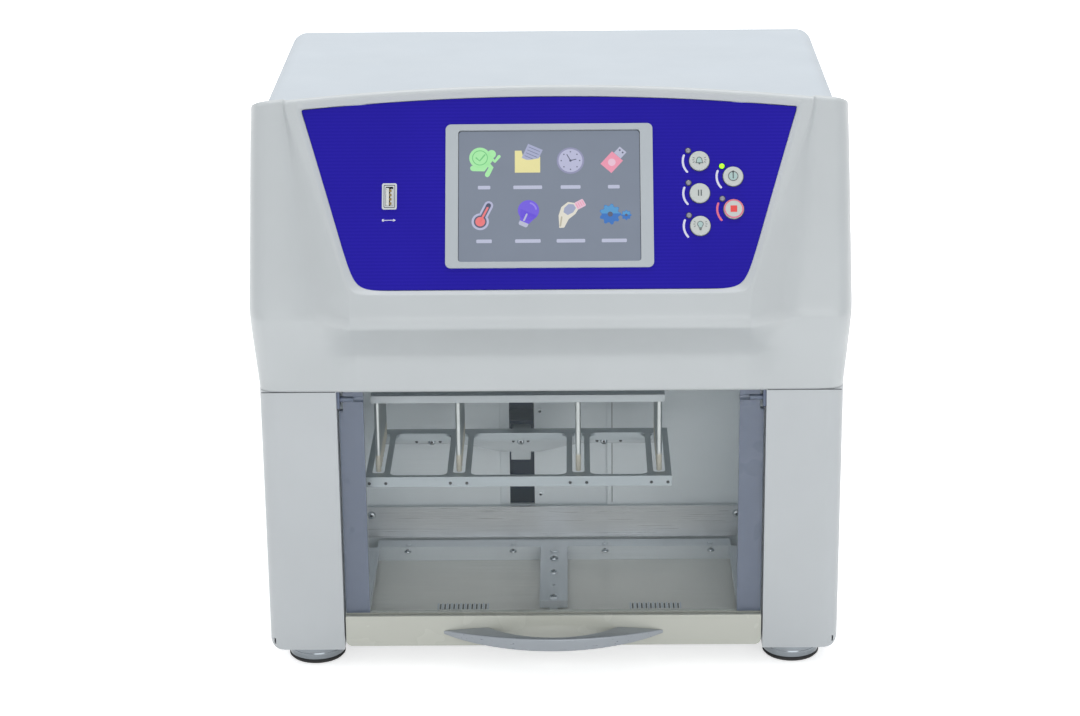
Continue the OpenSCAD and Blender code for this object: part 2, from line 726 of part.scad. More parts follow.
module power_rocker() {
    color("black") from_front()
        translate([inlet_x, body_d - 4, inlet_z + inlet_h / 2 - 4 - rocker_w / 2 + loose]) {
            half = rocker_w / 2 - 0.6;
            rotate([-rocker_tilt, 0, 0])
                block([-rocker_h / 2, -4, -half], [rocker_h / 2, 0, half]);
            for (s = [-1, 1]) intersection() {
                rotate([-rocker_tilt, 0, 0]) rotate([s * rocker_tilt, 0, 0])
                    block([-rocker_h / 2, -1, s > 0 ? -half : 0], [rocker_h / 2, 7, s > 0 ? 0 : half]);
                x_rod(-rocker_h, rocker_h, 0, 0, rocker_w + 1);
            }
            x_rod(-rocker_h / 2 - 1.9, rocker_h / 2 + 1.9, 0, 0, rocker_pin - 2 * running);
        }
}

module fan_frame() {
    y0 = body_d - sheet - fan_d;
    spider_t = 4;
    hub_d = 34;
    inset = 0.4;
    color(dark) from_front() difference() {
        union() {
            difference() {
                block([fan_x - fan_w / 2, y0, fan_z - fan_w / 2],
                      [fan_x + fan_w / 2, y0 + fan_d, fan_z + fan_w / 2]);
                y_rod(fan_x, y0 - past, y0 + fan_d + past, fan_z, fan_w - 4);
            }
            y_rod(fan_x, y0, y0 + spider_t, fan_z, hub_d);
            for (a = [45 : 90 : 315]) translate([fan_x, y0 + inset, fan_z]) rotate([0, a, 0])
                translate([-2, 0, hub_d / 2 - 3]) cube([4, spider_t - 2 * inset, fan_w / 2 + 5 - hub_d / 2]);
        }
        for (x = [-1, 1], z = [-1, 1])
            y_rod(fan_x + x * (fan_w / 2 - 4.5), y0 - past, y0 + fan_d + past,
                fan_z + z * (fan_w / 2 - 4.5), 4.3);
    }
}

module fan_rotor() {
    y0 = body_d - sheet - fan_d + 4 + 0.8;
    blade = (fan_w - 4) / 2 - 1.5;
    color("dimgray") from_front() translate([fan_x, y0, fan_z]) {
        rotate([-90, 0, 0]) cylinder(d = 34, h = fan_d - 7);
        for (k = [0 : 6]) rotate([0, 360 / 7 * k, 0]) intersection() {
            translate([0, (fan_d - 7) / 2, 14]) rotate([0, 0, 38])
                translate([-11, -0.8, 0]) cube([22, 1.6, 60]);
            rotate([-90, 0, 0]) cylinder(r = blade, h = fan_d - 7);
        }
    }
}

module fan_guard() {
    ring = 2;
    ear = fan_w / 2 - 4.5;
    y = body_d + guard_out - ring / 2;
    color("silver") from_front() translate([fan_x, y, fan_z]) {
        rotate([-90, 0, 0]) for (r = [12 : 7.5 : fan_w / 2]) rotate_extrude()
            translate([r, 0]) circle(d = ring);
        for (a = [45, 135]) rotate([0, a, 0]) translate([0, -0.75 * ring, 0])
            cylinder(d = ring, h = 2 * (ear * sqrt(2) - 3), center = true);
        for (x = [-1, 1], z = [-1, 1])
            translate([x * ear, -guard_out + ring / 2, z * ear])
                rotate([-90, 0, 0]) difference() {
                    cylinder(d = 8, h = guard_out - ring / 2);
                    translate([0, 0, -past]) cylinder(d = 2.5, h = guard_out);
                }
    }
}

// ---- Chamber ----

chamber_half = opening_w / 2;
module chamber_floor() {
    color(steel) from_front()
        block([-chamber_half + lining, rail_y0 + rail_depth + 3, floor_z - lining],
              [chamber_half - lining, chamber_d, floor_z]);
}

module chamber_liner() {
    color(steel) from_front() {
        y0 = shell + 11;
        both_sides() block([chamber_half - lining, y0, foot_h + sheet], [chamber_half, chamber_d, ceiling_z]);
        block([-chamber_half + lining, y0, ceiling_z - lining], [chamber_half - lining, chamber_d, ceiling_z]);
    }
}

window_half = 38;
module chamber_back() {
    color(steel) from_front() difference() {
        block([-chamber_half, chamber_d, foot_h + sheet], [chamber_half, chamber_d + back_t, ceiling_z]);
        block([-window_half, chamber_d - past, slot_bottom - 3],
              [window_half, chamber_d + back_t + past, slot_top + 3]);
    }
}

module back_band() {
    stand = 4;
    color(silver) from_front() {
        block([-chamber_half + 6, chamber_d - stand - lining, rail_z + 1],
              [chamber_half - 6, chamber_d - stand, slot_bottom + 1]);
        block([-chamber_half + 6, chamber_d - stand, slot_bottom - 4 - lining],
              [chamber_half - 6, chamber_d, slot_bottom - 4]);
        for (s = [-1, 1]) y_rod(s * 130.3, chamber_d - stand - lining - 1.5,
            chamber_d - stand - lining, slot_bottom - 5, 5);
    }
}

module tray_back_rail() {
    color(silver) from_front() {
        block([-bay_end + flange_t, rail_len, floor_z], [bay_end - flange_t, rail_len + lining, rail_z]);
        block([-bay_end + flange_t, rail_len, rail_z - lining], [bay_end - flange_t, chamber_d - 8, rail_z]);
        for (x = [-103.5, -29, 36, 110.8]) z_rod(x, rail_len + 4.5, rail_z, rail_z + 1, 4);
    }
}

module tray_centre_rail() {
    y0 = plate_front + 6;
    color(silver) from_front() {
        difference() {
            union() {
                block([-web / 2, y0, floor_z], [web / 2, rail_len, rail_z]);
                block([-flange / 2, y0, rail_z - flange_t], [flange / 2, rail_len, rail_z]);
            }
            z_rod(0, y0 + 26, rail_z - 3, rail_z + past, 3);
        }
        for (y = [5, 47, rail_len - y0 - 8]) z_rod(0, y0 + y, rail_z - 1, rail_z + 1.2, 6);
    }
}

module tray_guides() {
    guide_end = chamber_half - lining;
    guide_lip = 7;
    color(silver) from_front() both_sides() difference() {
        block([bay_end - guide_lip, plate_front, floor_z], [guide_end, rail_len, rail_z]);
        block([bay_end - guide_lip - past, plate_front - past, floor_z - past],
              [bay_end, rail_len + past, rail_z - flange_t]);
        block([bay_end + 2, plate_front - past, floor_z - past],
              [guide_end + past, rail_len + past, rail_z - 2]);
    }
}

module heater_plates() {
    heater_t = 4;
    color("peru") from_front() both_sides()
        block([bay_x + 6, plate_front + 6, floor_z - lining - heater_t],
              [bay_end - 6, plate_front + plate_d - 6, floor_z - lining]);
}

module uv_lamp() {
    tube = 12;
    y = chamber_d - 18;
    z = ceiling_z - lining - 10;
    color("white") from_front() {
        x_rod(-100, 100, y, z, tube);
        both_sides() block([100, y - 8, z - 8], [112, y + 8, ceiling_z - lining]);
    }
}

// ---- Cross drive ----

module drive_uprights() {
    color(silver) from_front() for (s = [-1, 1]) difference() {
        union() {
            translate([s * upright_x - upright_t / 2, rail_y - uprights_d / 2, foot_h + sheet])
                cube([upright_t, uprights_d, high_rail_z + 16 - foot_h - sheet]);
            translate([s > 0 ? upright_x - upright_t / 2 : -upright_x - 24, rail_y - uprights_d / 2,
                       foot_h + sheet]) cube([24 + upright_t / 2, uprights_d, 4]);
        }
        for (z = [low_rail_z, high_rail_z])
            x_rod(s * upright_x - upright_t, s * upright_x + upright_t, rail_y, z, rail_d);
        x_rod(s * upright_x - upright_t, s * upright_x + upright_t, rail_y, x_screw_z,
            screw_d + 2 * running);
    }
}

module x_rails() {
    color("silver") from_front() for (z = [low_rail_z, high_rail_z])
        x_rod(-upright_x - upright_t / 2, upright_x + upright_t / 2, rail_y, z, rail_d);
}

module motor_body(w, l) {
    chamfer = 5;
    translate([0, 0, l / 2]) difference() {
        cube([w, w, l], center = true);
        for (a = [0 : 90 : 270]) rotate([0, 0, a]) translate([w / 2, w / 2, 0])
            rotate([0, 0, 45]) cube([chamfer, chamfer, 2 * l], center = true);
    }
}
module x_motor() {
    color(dark) from_front() translate([-upright_x - upright_t / 2, rail_y, x_screw_z])
        rotate([0, -90, 0]) motor_body(motor_w, motor_l);
}
module x_lead_screw() {
    color("silver") from_front()
        x_rod(-upright_x - upright_t / 2 + loose, upright_x + upright_t / 2, rail_y, x_screw_z, screw_d);
}

module x_carriage() {
    z0 = low_rail_z - 14;
    color(silver) from_front() translate([rack_x, 0, 0]) difference() {
        union() {
            block([-carriage_half, plate_y, z0], [carriage_half, plate_y + carriage_t, upper_z]);
            block([-carriage_half, block_front, shelf_z], [carriage_half, plate_y, shelf_z + shelf_t]);
            block([-carriage_half, guide_y - motor_w / 2 - 1, upper_z],
                  [carriage_half, plate_y + carriage_t, upper_z + shelf_t]);
            both_sides() block([carriage_half - cheek_t, shutter_y + shutter_t, shelf_z],
                [carriage_half, plate_y, slot_top + 8]);
            for (x = [-35, 35], z = [low_rail_z, high_rail_z])
                block([x - 13, plate_y + carriage_t, z - 13], [x + 13, rail_y + 13, z + 13]);
            block([-14, plate_y + carriage_t, x_screw_z - 14], [14, rail_y + 11, x_screw_z + 14]);
        }
        for (z = [low_rail_z, high_rail_z])
            x_rod(-carriage_half - past, carriage_half + past, rail_y, z, rail_d + 2 * running);
        x_rod(-carriage_half - past, carriage_half + past, rail_y, x_screw_z, screw_d + 2 * loose);
        both_sides() {
            z_rod(guide_dx, guide_y, shelf_z - past, shelf_z + shelf_t + past, guide_d);
            z_rod(guide_dx, guide_y, upper_z - past, upper_z + shelf_t + past, guide_d);
        }
        z_rod(screw_dx, guide_y, upper_z - past, upper_z + shelf_t + past, screw_d + 2 * loose);
        z_rod(screw_dx, guide_y, shelf_z - past, shelf_z + shelf_t + past, screw_d + 2 * running);
        z_rod(rod_screw_dx, guide_y, upper_z - past, upper_z + shelf_t + past, 2 * rod_screw_d);
    }
}

module shutter_plate() {
    x0 = -window_half - rack_travel - 3;
    slot_half = arm_w / 2 + slot_play;
    trim_t = 1;
    color(steel) from_front() {
        difference() {
            union() {
                block([x0, shutter_y, shelf_z], [window_half + 3, shutter_y + shutter_t, slot_top + 8]);
                block([rack_x - 11, shutter_y - trim_t, slot_bottom - 2],
                      [rack_x + 22, shutter_y, slot_top + 2]);
            }
            block([rack_x - slot_half, shutter_y - trim_t - past, slot_bottom],
                  [rack_x + slot_half, shutter_y + shutter_t + past, slot_top]);
        }
        for (z = [slot_bottom + 8, slot_bottom + 71])
            y_rod(rack_x + 13, shutter_y - trim_t - 1.2, shutter_y - trim_t, z, 4.4);
    }
}

module z_guides() {
    color("silver") from_front() translate([rack_x, 0, 0]) both_sides()
        z_rod(guide_dx, guide_y, shelf_z, upper_z + shelf_t, guide_d);
}
module z_motor() {
    color(dark) from_front() translate([rack_x + screw_dx, guide_y, upper_z + shelf_t])
        motor_body(motor_w, motor_l);
}
module z_lead_screw() {
    color("silver") from_front()
        z_rod(rack_x + screw_dx, guide_y, shelf_z, upper_z + shelf_t - loose, screw_d);
}

// ---- Racks ----

module sleeve_slide() {
    color(silver) from_front() translate([rack_x, 0, 0]) difference() {
        union() {
            block([-carriage_half + cheek_t + 2, block_front, sleeve_block_z],
                  [carriage_half - cheek_t - 2, plate_y - 2, sleeve_block_z + sleeve_block_h]);
            block([-carriage_half + cheek_t + 2, block_front, sleeve_top_z],
                  [carriage_half - cheek_t - 2, plate_y - 2, sleeve_top_z + sleeve_top_h]);
            block([-carriage_half + cheek_t + 2, plate_y - 2 - slide_plate_t, sleeve_block_z],
                  [carriage_half - cheek_t - 2, plate_y - 2, sleeve_top_z + sleeve_top_h]);
        }
        both_sides() z_rod(guide_dx, guide_y, sleeve_block_z - past,
            sleeve_top_z + sleeve_top_h + past, guide_d + 2 * running);
        z_rod(screw_dx, guide_y, sleeve_block_z - past, sleeve_top_z + sleeve_top_h + past,
            screw_d + 2 * loose);
        z_rod(rod_screw_dx, guide_y, sleeve_block_z + 10, sleeve_top_z + sleeve_top_h + past,
            rod_screw_d + 2 * running);
    }
}

module sleeve_bracket() {
    half = row_x[3] - rack_x + frame_side;
    bracket_t = 3;
    y0 = frame_back;
    color(silver) from_front() translate([rack_x, 0, 0]) {
        difference() {
            union() {
                block([-half, y0, sleeve_z - 10], [half, y0 + bracket_t, sleeve_z]);
                translate([0, y0, sleeve_z]) rotate([-90, 0, 0])
                    linear_extrude(bracket_t) polygon([[-46, 9], [46, 9], [arm_w, 16], [-arm_w, 16]]);
            }
            for (x = [-half + 30, -half + 40, -half + 56, -5, 5, half - 30, half - 44, half - 52])
                y_rod(x, y0 - past, y0 + bracket_t + past, sleeve_z - 6.5, 2.6);
        }
        block([-arm_w / 2, y0 + bracket_t, sleeve_arm_z], [arm_w / 2, block_front, sleeve_arm_z + arm_h]);
        block([-arm_w / 2, y0, sleeve_arm_z], [arm_w / 2, y0 + bracket_t, sleeve_z - 10]);
    }
}

module sleeve_frame() {
    half = row_x[3] - rack_x + frame_side;
    color(steel) from_front() difference() {
        union() {
            block([rack_x - half, frame_front, sleeve_z - frame_t],
                  [rack_x + half, frame_back, sleeve_z]);
            block([rack_x - half, frame_front, sleeve_z - lip_h],
                  [rack_x + half, frame_front + frame_t, sleeve_z]);
            block([rack_x - half, frame_back - frame_t, sleeve_z - lip_h],
                  [rack_x + half, frame_back, sleeve_z]);
        }
        for (x = row_x) {
            translate([x, row_y + row_len / 2, sleeve_z - 2 * lip_h])
                rounded_plate(slot_w, row_len + 2 * 5.5, 3 * lip_h, 2.5);
            for (s = [-5.5, 5.5])
                y_rod(x + s, frame_front - past, frame_front + frame_t + past, sleeve_z - 4.5, 2);
        }
        for (k = [0 : 2]) {
            w = row_x[k + 1] - row_x[k] - 2 * window_inset;
            y0 = frame_front + frame_t + 1.6;
            y1 = frame_back - 6;
            translate([(row_x[k] + row_x[k + 1]) / 2, (y0 + y1) / 2, sleeve_z - 2 * frame_t])
                rounded_plate(w, y1 - y0, 4 * frame_t, 5);
        }
    }
}

module rod_motor() {
    color(dark) from_front() translate([rack_x + rod_screw_dx, guide_y, sleeve_top_z + sleeve_top_h])
        motor_body(small_motor_w, small_motor_l);
}
module rod_lead_screw() {
    color("silver") from_front() z_rod(rack_x + rod_screw_dx, guide_y, sleeve_block_z + 10 + loose,
        sleeve_top_z + sleeve_top_h - loose, rod_screw_d);
}

module rod_slide() {
    y1 = plate_y - 2 - slide_plate_t - 2;
    arm_z = rod_plate_z + rod_plate_t;
    color(silver) from_front() translate([rack_x, 0, 0]) difference() {
        union() {
            block([-carriage_half + cheek_t + 2, block_front, rod_block_z],
                  [carriage_half - cheek_t - 2, y1, rod_block_z + rod_block_h]);
            block([-arm_w / 2, row_y + 6, arm_z], [arm_w / 2, block_front, arm_z + 10]);
        }
        both_sides() z_rod(guide_dx, guide_y, rod_block_z - past, rod_block_z + rod_block_h + past,
            guide_d + 2 * running);
        z_rod(screw_dx, guide_y, rod_block_z - past, rod_block_z + rod_block_h + past, screw_d + 2);
        z_rod(rod_screw_dx, guide_y, rod_block_z - past, rod_block_z + rod_block_h + past,
            rod_screw_d + 2 * loose);
    }
}

module rod_plate() {
    half = row_x[3] - rack_x + rod_plate_side;
    color(silver) from_front() difference() {
        block([rack_x - half, row_y - 4, rod_plate_z],
              [rack_x + half, row_y + row_len + 8, rod_plate_z + rod_plate_t]);
        for (x = row_x, k = [0 : row_count - 1])
            z_rod(x, row_y + k * well_pitch, rod_plate_z - past, rod_plate_z + rod_plate_t - 1, rod_d);
    }
}
module at_rods() {
    for (x = row_x, k = [0 : row_count - 1]) translate([x, row_y + k * well_pitch, 0]) children();
}
module magnet_rods() {
    color("silver") from_front() at_rods()
        z_rod(0, 0, rod_plate_z - rod_len + tip_len, rod_plate_z + rod_plate_t - 1, rod_d);
}
module magnet_tips() {
    tip_bevel = 0.5;
    color("wheat") from_front() at_rods() translate([0, 0, rod_plate_z - rod_len]) {
        cylinder(d1 = rod_d - 2 * tip_bevel, d2 = rod_d, h = tip_bevel);
        translate([0, 0, tip_bevel]) cylinder(d = rod_d, h = tip_len - tip_bevel);
    }
}

// ---- Door ----

module hinge_brackets() {
    x1 = opening_w / 2;
    color(dark) from_front() both_sides() difference() {
        union() {
            block([x1 - bracket_t, hinge_y - 5, hinge_z - 5], [x1, hinge_y + 6, seam_z]);
            block([x1 - 10, hinge_y + 4.5, seam_z - 1.2], [x1, hinge_y + 6, seam_z]);
        }
        x_rod(x1 - bracket_t - past, x1 + past, hinge_y, hinge_z, pin_d + 2 * running);
    }
}
module hinge_pins() {
    color("silver") from_front() both_sides()
        x_rod(door_half - notch_w - 7, opening_w / 2 - loose, hinge_y, hinge_z, pin_d);
}
module corner_notch() {
    both_sides() block([door_half - notch_w, -past, hinge_z - 8], [door_half + past, 30, seam_z]);
}
module door_glass() {
    color([0.75, 0.85, 0.88, 0.35]) from_front() difference() {
        block([-door_half, door_y, rail_top - groove], [door_half, door_y + glass_t, door_top]);
        corner_notch();
        both_sides() x_rod(door_half - notch_w - 7 - loose, door_half, hinge_y, hinge_z, pin_d + 2 * running);
    }
}
module door_stiles() {
    color(stile_blue) from_front() difference() {
        both_sides() {
            block([door_half - stile_w, door_y + glass_t, rail_top],
                  [door_half, door_y + glass_t + stile_t, door_top]);
            block([door_half - 12, door_y + glass_t, hinge_z - 6],
                  [door_half - notch_w, hinge_y + 5, hinge_z + 5]);
        }
        corner_notch();
        x_rod(-door_half, door_half, hinge_y, hinge_z, pin_d);
    }
}
module door_rail() {
    color(cream) from_front() difference() {
        translate([0, rail_y0 + rail_depth, door_bottom + rail_h / 2]) rotate([90, 0, 0])
            union() {
                rounded_plate(2 * door_half, rail_h, rail_depth, 4);
                translate([-door_half, 0, 0]) cube([2 * door_half, rail_h / 2, rail_depth]);
            }
        block([-door_half - past, door_y, rail_top - groove],
              [door_half + past, door_y + glass_t, rail_top + past]);
    }
}
// The handle is a crescent: an outer and an inner arc through the same rail face, thinner at its tips
handle_tip_h = 1.6;
function arc_r(chord, rise) = (chord * chord / 4 + rise * rise) / (2 * rise);
module door_handle() {
    outer_r = arc_r(handle_span, handle_out);
    gap_out = handle_out - handle_bar;
    inner_r = arc_r(finger_w, gap_out);
    z0 = door_bottom + (rail_h - handle_h) / 2 - 1;
    lens_r = arc_r(handle_span, (handle_h - handle_tip_h) / 2);
    color(silver) from_front() translate([0, rail_y0, z0]) intersection() {
        difference() {
            translate([0, outer_r - handle_out, 0]) cylinder(r = outer_r, h = handle_h, $fn = 160);
            translate([0, inner_r - gap_out, -past]) cylinder(r = inner_r, h = handle_h + 2 * past, $fn = 120);
        }
        block([-handle_span, -handle_out - past, 0], [handle_span, 0, handle_h]);
        for (z = [lens_r, handle_h - lens_r])
            translate([0, -handle_out - past, z]) rotate([-90, 0, 0])
                cylinder(r = lens_r, h = handle_out + 2 * past, $fn = 600);
    }
}

// ---- Feet ----

module at_feet() {
    for (x = [-foot_x, foot_x], y = [22, body_d - 23]) translate([x, y, 0]) children();
}
pad_h = 3;
module feet() {
    color("silver") from_front() at_feet() rotate_extrude()
        polygon([[0, pad_h - 2], [foot_d / 2 - 3, pad_h - 2], [foot_d / 2 - 3, pad_h],
            [foot_d / 2, pad_h], [foot_d / 2, foot_h - 2.5], [foot_d / 2 - 3, foot_h], [0, foot_h]]);
}
module foot_pads() {
    color("black") from_front() at_feet() rotate_extrude()
        polygon([[0, 0], [foot_d / 2 - 1, 0], [foot_d / 2 + 0.5, 1.5], [foot_d / 2 + 0.5, pad_h],
            [foot_d / 2 - 3, pad_h], [foot_d / 2 - 3, pad_h - 2], [0, pad_h - 2]]);
}

base_pan();
front_column_left();
front_column_right();
side_panel_left();
side_panel_right();
rear_panel();
top_cover();
head_cover();
control_panel();
screen_bezel();
display_module();
usb_port();
status_leds();
circuit_boards();
power_supply();
power_inlet();
power_rocker();
fan_frame();
fan_rotor();
fan_guard();
chamber_floor();
chamber_liner();
chamber_back();
back_band();
tray_back_rail();
tray_centre_rail();
tray_guides();
heater_plates();
uv_lamp();
drive_uprights();
x_rails();
x_motor();
x_lead_screw();
x_carriage();
shutter_plate();
z_guides();
z_motor();
z_lead_screw();
sleeve_slide();
sleeve_bracket();
sleeve_frame();
rod_motor();
rod_lead_screw();
rod_slide();
rod_plate();
magnet_rods();
magnet_tips();
hinge_brackets();
hinge_pins();
door_glass();
door_stiles();
door_rail();
door_handle();
button_bell();
button_pause();
button_lamp();
button_start();
button_stop();
feet();
foot_pads();
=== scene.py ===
import math

import bmesh
import bpy
from mathutils import Matrix, Vector


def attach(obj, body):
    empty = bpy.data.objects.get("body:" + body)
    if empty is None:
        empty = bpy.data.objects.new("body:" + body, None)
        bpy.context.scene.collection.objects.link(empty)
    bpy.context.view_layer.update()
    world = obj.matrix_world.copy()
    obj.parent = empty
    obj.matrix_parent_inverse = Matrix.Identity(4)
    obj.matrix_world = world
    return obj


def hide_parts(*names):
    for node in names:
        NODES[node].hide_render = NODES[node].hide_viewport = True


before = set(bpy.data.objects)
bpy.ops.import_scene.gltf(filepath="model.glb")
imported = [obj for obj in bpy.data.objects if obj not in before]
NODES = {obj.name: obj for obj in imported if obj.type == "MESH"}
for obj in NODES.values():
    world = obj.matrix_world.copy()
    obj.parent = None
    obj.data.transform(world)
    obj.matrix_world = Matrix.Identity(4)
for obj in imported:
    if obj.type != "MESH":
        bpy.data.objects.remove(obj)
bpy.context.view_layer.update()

# ---- The part's own sizes, in millimetres; depths count from the front face of the columns ----
MM = 0.001
FRONT = -131.2745          # that face on the frame's Y axis
HEAD_W, BODY_W, BODY_D, BODY_H = 386, 380, 303, 366
SEAM_Z, HOOD_BACK, SHELL = 195, 80, 3
TILT, PANEL_Z = 32, 326
PANEL_TOP, PANEL_BOTTOM, PANEL_DOWN, PANEL_UP, ARCH = 316, 245, 61.3, 58, 8
PANEL_R, BORDER, CROWN = 12.5, 3.5, 2.5
CHIN_Z, CHIN_R = 257, 9
BUTTONS = {"bell": (95, 22), "pause": (95, 0.8), "lamp": (95, -20.6),
           "start": (116.2, 11.6), "stop": (116.2, -9.8)}
LED_SHIFT, LED_R, BUTTON_R, BUTTON_OUT = 7, 1.62, 6.35, 1.6
PORT_X = -101
ROW_X = (-116.38, -62.38, 17.38, 71.38)                # rows of rods
SLEEVE_Z, SLEEVE_FRONT, SLEEVE_BACK = 125, 27, 115.04    # sleeve frame and its bracket
CHAMBER_HALF, CHAMBER_D, FLOOR_Z, RAIL_Z = 139.5, 149, 21.3, 31.6
BAND_FRONT, SLOT_BOTTOM = 143.5, 55
SIDES = (("left", -1), ("right", 1))

SIN, COS = math.sin(math.radians(TILT)), math.cos(math.radians(TILT))


def at(x, y, z):
    """A point given by X, the set-back from the front face and the height, in millimetres."""
    return Vector((x, y + FRONT, z)) * MM


def on_panel(x, s, n):
    """A point on the control panel: across, up the slope, out of the face."""
    return at(x, s * SIN - n * COS, PANEL_Z + s * COS + n * SIN)


# ---- Materials ----

def linear(rgb):
    """Screen values from 0 to 255 as linear light."""
    parts = [c / 255 for c in rgb]
    return [c / 12.92 if c <= 0.04045 else ((c + 0.055) / 1.055) ** 2.4 for c in parts]


class Shader:
    """A small builder round one Principled surface whose patterns live in object space."""

    def __init__(self, name, rgb, rough=0.5, metal=0.0, **fixed):
        self.mat = bpy.data.materials.new(name)
        self.mat.use_nodes = True
        self.tree = self.mat.node_tree
        self.bsdf = self.tree.nodes["Principled BSDF"]
        self.place = self.add("ShaderNodeTexCoord").outputs["Object"]
        self.rgb, self.rough = linear(rgb), rough
        self.bsdf.inputs["Base Color"].default_value = (*self.rgb, 1)
        self.bsdf.inputs["Roughness"].default_value = rough
        self.bsdf.inputs["Metallic"].default_value = metal
        for key, value in fixed.items():
            self.bsdf.inputs[key.replace("_", " ")].default_value = value
        self.mat.diffuse_color = (*self.rgb, 1)
        self.colour = self.normal = None

    def add(self, kind, **values):
        node = self.tree.nodes.new(kind)
        for key, value in values.items():
            setattr(node, key, value)
        return node

    def link(self, a, b):
        self.tree.links.new(a, b)

    def noise(self, size_mm, detail=2.0, stretch=(1, 1, 1)):
        """Noise whose blobs are about size_mm across; stretch makes them longer along an axis."""
        way = self.add("ShaderNodeMapping")
        self.link(self.place, way.inputs["Vector"])
        way.inputs["Scale"].default_value = [1 / (size_mm * MM * k) for k in stretch]
        node = self.add("ShaderNodeTexNoise")
        node.inputs["Scale"].default_value = 1
        node.inputs["Detail"].default_value = detail
        self.link(way.outputs["Vector"], node.inputs["Vector"])
        return node.outputs["Fac"]

    def waves(self, value, period_mm):
        """A sine wave over a length."""
        turn = self.add("ShaderNodeMath", operation="MULTIPLY")
        self.link(value, turn.inputs[0])
        turn.inputs[1].default_value = 2 * math.pi / (period_mm * MM)
        sine = self.add("ShaderNodeMath", operation="SINE")
        self.link(turn.outputs[0], sine.inputs[0])
        return sine.outputs[0]

    def spread(self, value, low, high, start=0.3, end=0.7):
        """Maps value from start and end to low and high."""
        node = self.add("ShaderNodeMapRange")
        for key, v in (("From Min", start), ("From Max", end), ("To Min", low), ("To Max", high)):
            node.inputs[key].default_value = v
        self.link(value, node.inputs["Value"])
        return node.outputs["Result"]

    def tint(self, value, other, low=0.0, high=1.0, start=0.3, end=0.7):
        """Mixes the surface's colour towards another one where value is high."""
        node = self.add("ShaderNodeMix", data_type="RGBA")
        self.link(self.spread(value, low, high, start, end), node.inputs["Factor"])
        if self.colour is None:
            node.inputs["A"].default_value = (*self.rgb, 1)
        else:
            self.link(self.colour, node.inputs["A"])
        node.inputs["B"].default_value = (*linear(other), 1)
        self.colour = node.outputs["Result"]
        self.link(self.colour, self.bsdf.inputs["Base Color"])
        return self

    def uneven(self, value, change):
        """Lets the roughness rise and fall with value."""
        self.link(self.spread(value, self.rough - change, self.rough + change),
                  self.bsdf.inputs["Roughness"])
        return self

    def bump(self, value, depth_mm, strength=0.5):
        node = self.add("ShaderNodeBump")
        node.inputs["Strength"].default_value = strength
        node.inputs["Distance"].default_value = depth_mm * MM
        self.link(value, node.inputs["Height"])
        if self.normal is not None:
            self.link(self.normal, node.inputs["Normal"])
        self.normal = node.outputs["Normal"]
        self.link(self.normal, self.bsdf.inputs["Normal"])
        return self


def shade(rgb, k):
    """The colour, darker or lighter by a factor."""
    return tuple(min(255, c * k) for c in rgb)


def moulded(name, rgb, rough=0.42, grain_mm=0.5, depth=0.02, **fixed):
    """Moulded or painted surface: faint mottling, fine grain, uneven gloss."""
    s = Shader(name, rgb, rough, **fixed)
    s.tint(s.noise(60), shade(rgb, 0.985)).uneven(s.noise(25), 0.04)
    return s.bump(s.noise(grain_mm, 3), depth, 0.35).mat


def brushed(name, rgb, along, rough=0.34, contrast=0.86, metal=1.0, depth=0.01):
    """Metal brushed along one axis."""
    s = Shader(name, rgb, rough, metal)
    stretch = [60 if a == along else 1 for a in "XYZ"]
    lines = s.noise(0.9, 3, stretch)
    s.tint(lines, shade(rgb, contrast)).tint(s.noise(45), shade(rgb, 0.96), 0, 0.6)
    s.uneven(lines, 0.08)
    return s.bump(lines, depth, 0.4).mat


def polished(name, rgb, rough=0.12):
    s = Shader(name, rgb, rough, 1.0)
    s.tint(s.noise(20), shade(rgb, 0.9), 0, 0.5).uneven(s.noise(6, 4), 0.04)
    return s.mat


def lit(name, rgb, power, own=0.4):
    """A surface of the display or of a lit lamp: part of its colour is its own light."""
    s = Shader(name, shade(rgb, own), 0.35)
    s.tint(s.noise(30), shade(rgb, own * 0.95))
    glow = s.add("ShaderNodeMix", data_type="RGBA")
    s.link(s.spread(s.noise(18), 0, 1), glow.inputs["Factor"])
    glow.inputs["A"].default_value = (*linear(rgb), 1)
    glow.inputs["B"].default_value = (*linear(shade(rgb, 0.98)), 1)
    s.link(glow.outputs["Result"], s.bsdf.inputs["Emission Color"])
    s.bsdf.inputs["Emission Strength"].default_value = power
    return s.mat


def panel_foil():
    """Blue foil with fine level lines."""
    s = Shader("panel_foil", (26, 12, 158), 0.42, Specular_IOR_Level=0.18)
    up = s.add("ShaderNodeVectorMath", operation="DOT_PRODUCT")
    s.link(s.place, up.inputs[0])
    up.inputs[1].default_value = (0, SIN, COS)
    lines = s.waves(up.outputs["Value"], 2.2)
    s.tint(lines, (40, 24, 176), 0, 0.6, -1, 1)
    s.tint(s.noise(120), (22, 8, 146), 0, 0.5)
    s.uneven(s.noise(18), 0.05)
    return s.bump(lines, 0.02, 0.15).mat


def screw_metal(name, rgb, pitch_mm, axis):
    """Threaded rod: ridges that follow each other along the given axis, with painted shade in dark
    bands that follow them.
    """
    s = Shader(name, rgb, 0.3, 1.0)
    parts = s.add("ShaderNodeSeparateXYZ")
    s.link(s.place, parts.inputs[0])
    ridges = s.waves(parts.outputs[axis], pitch_mm)
    # Painted shade: the colour darkens to half in a band along each ridge
    s.tint(ridges, shade(rgb, 0.5), 0, 1, -0.4, 0.6)
    return s.bump(ridges, 0.4, 0.8).mat


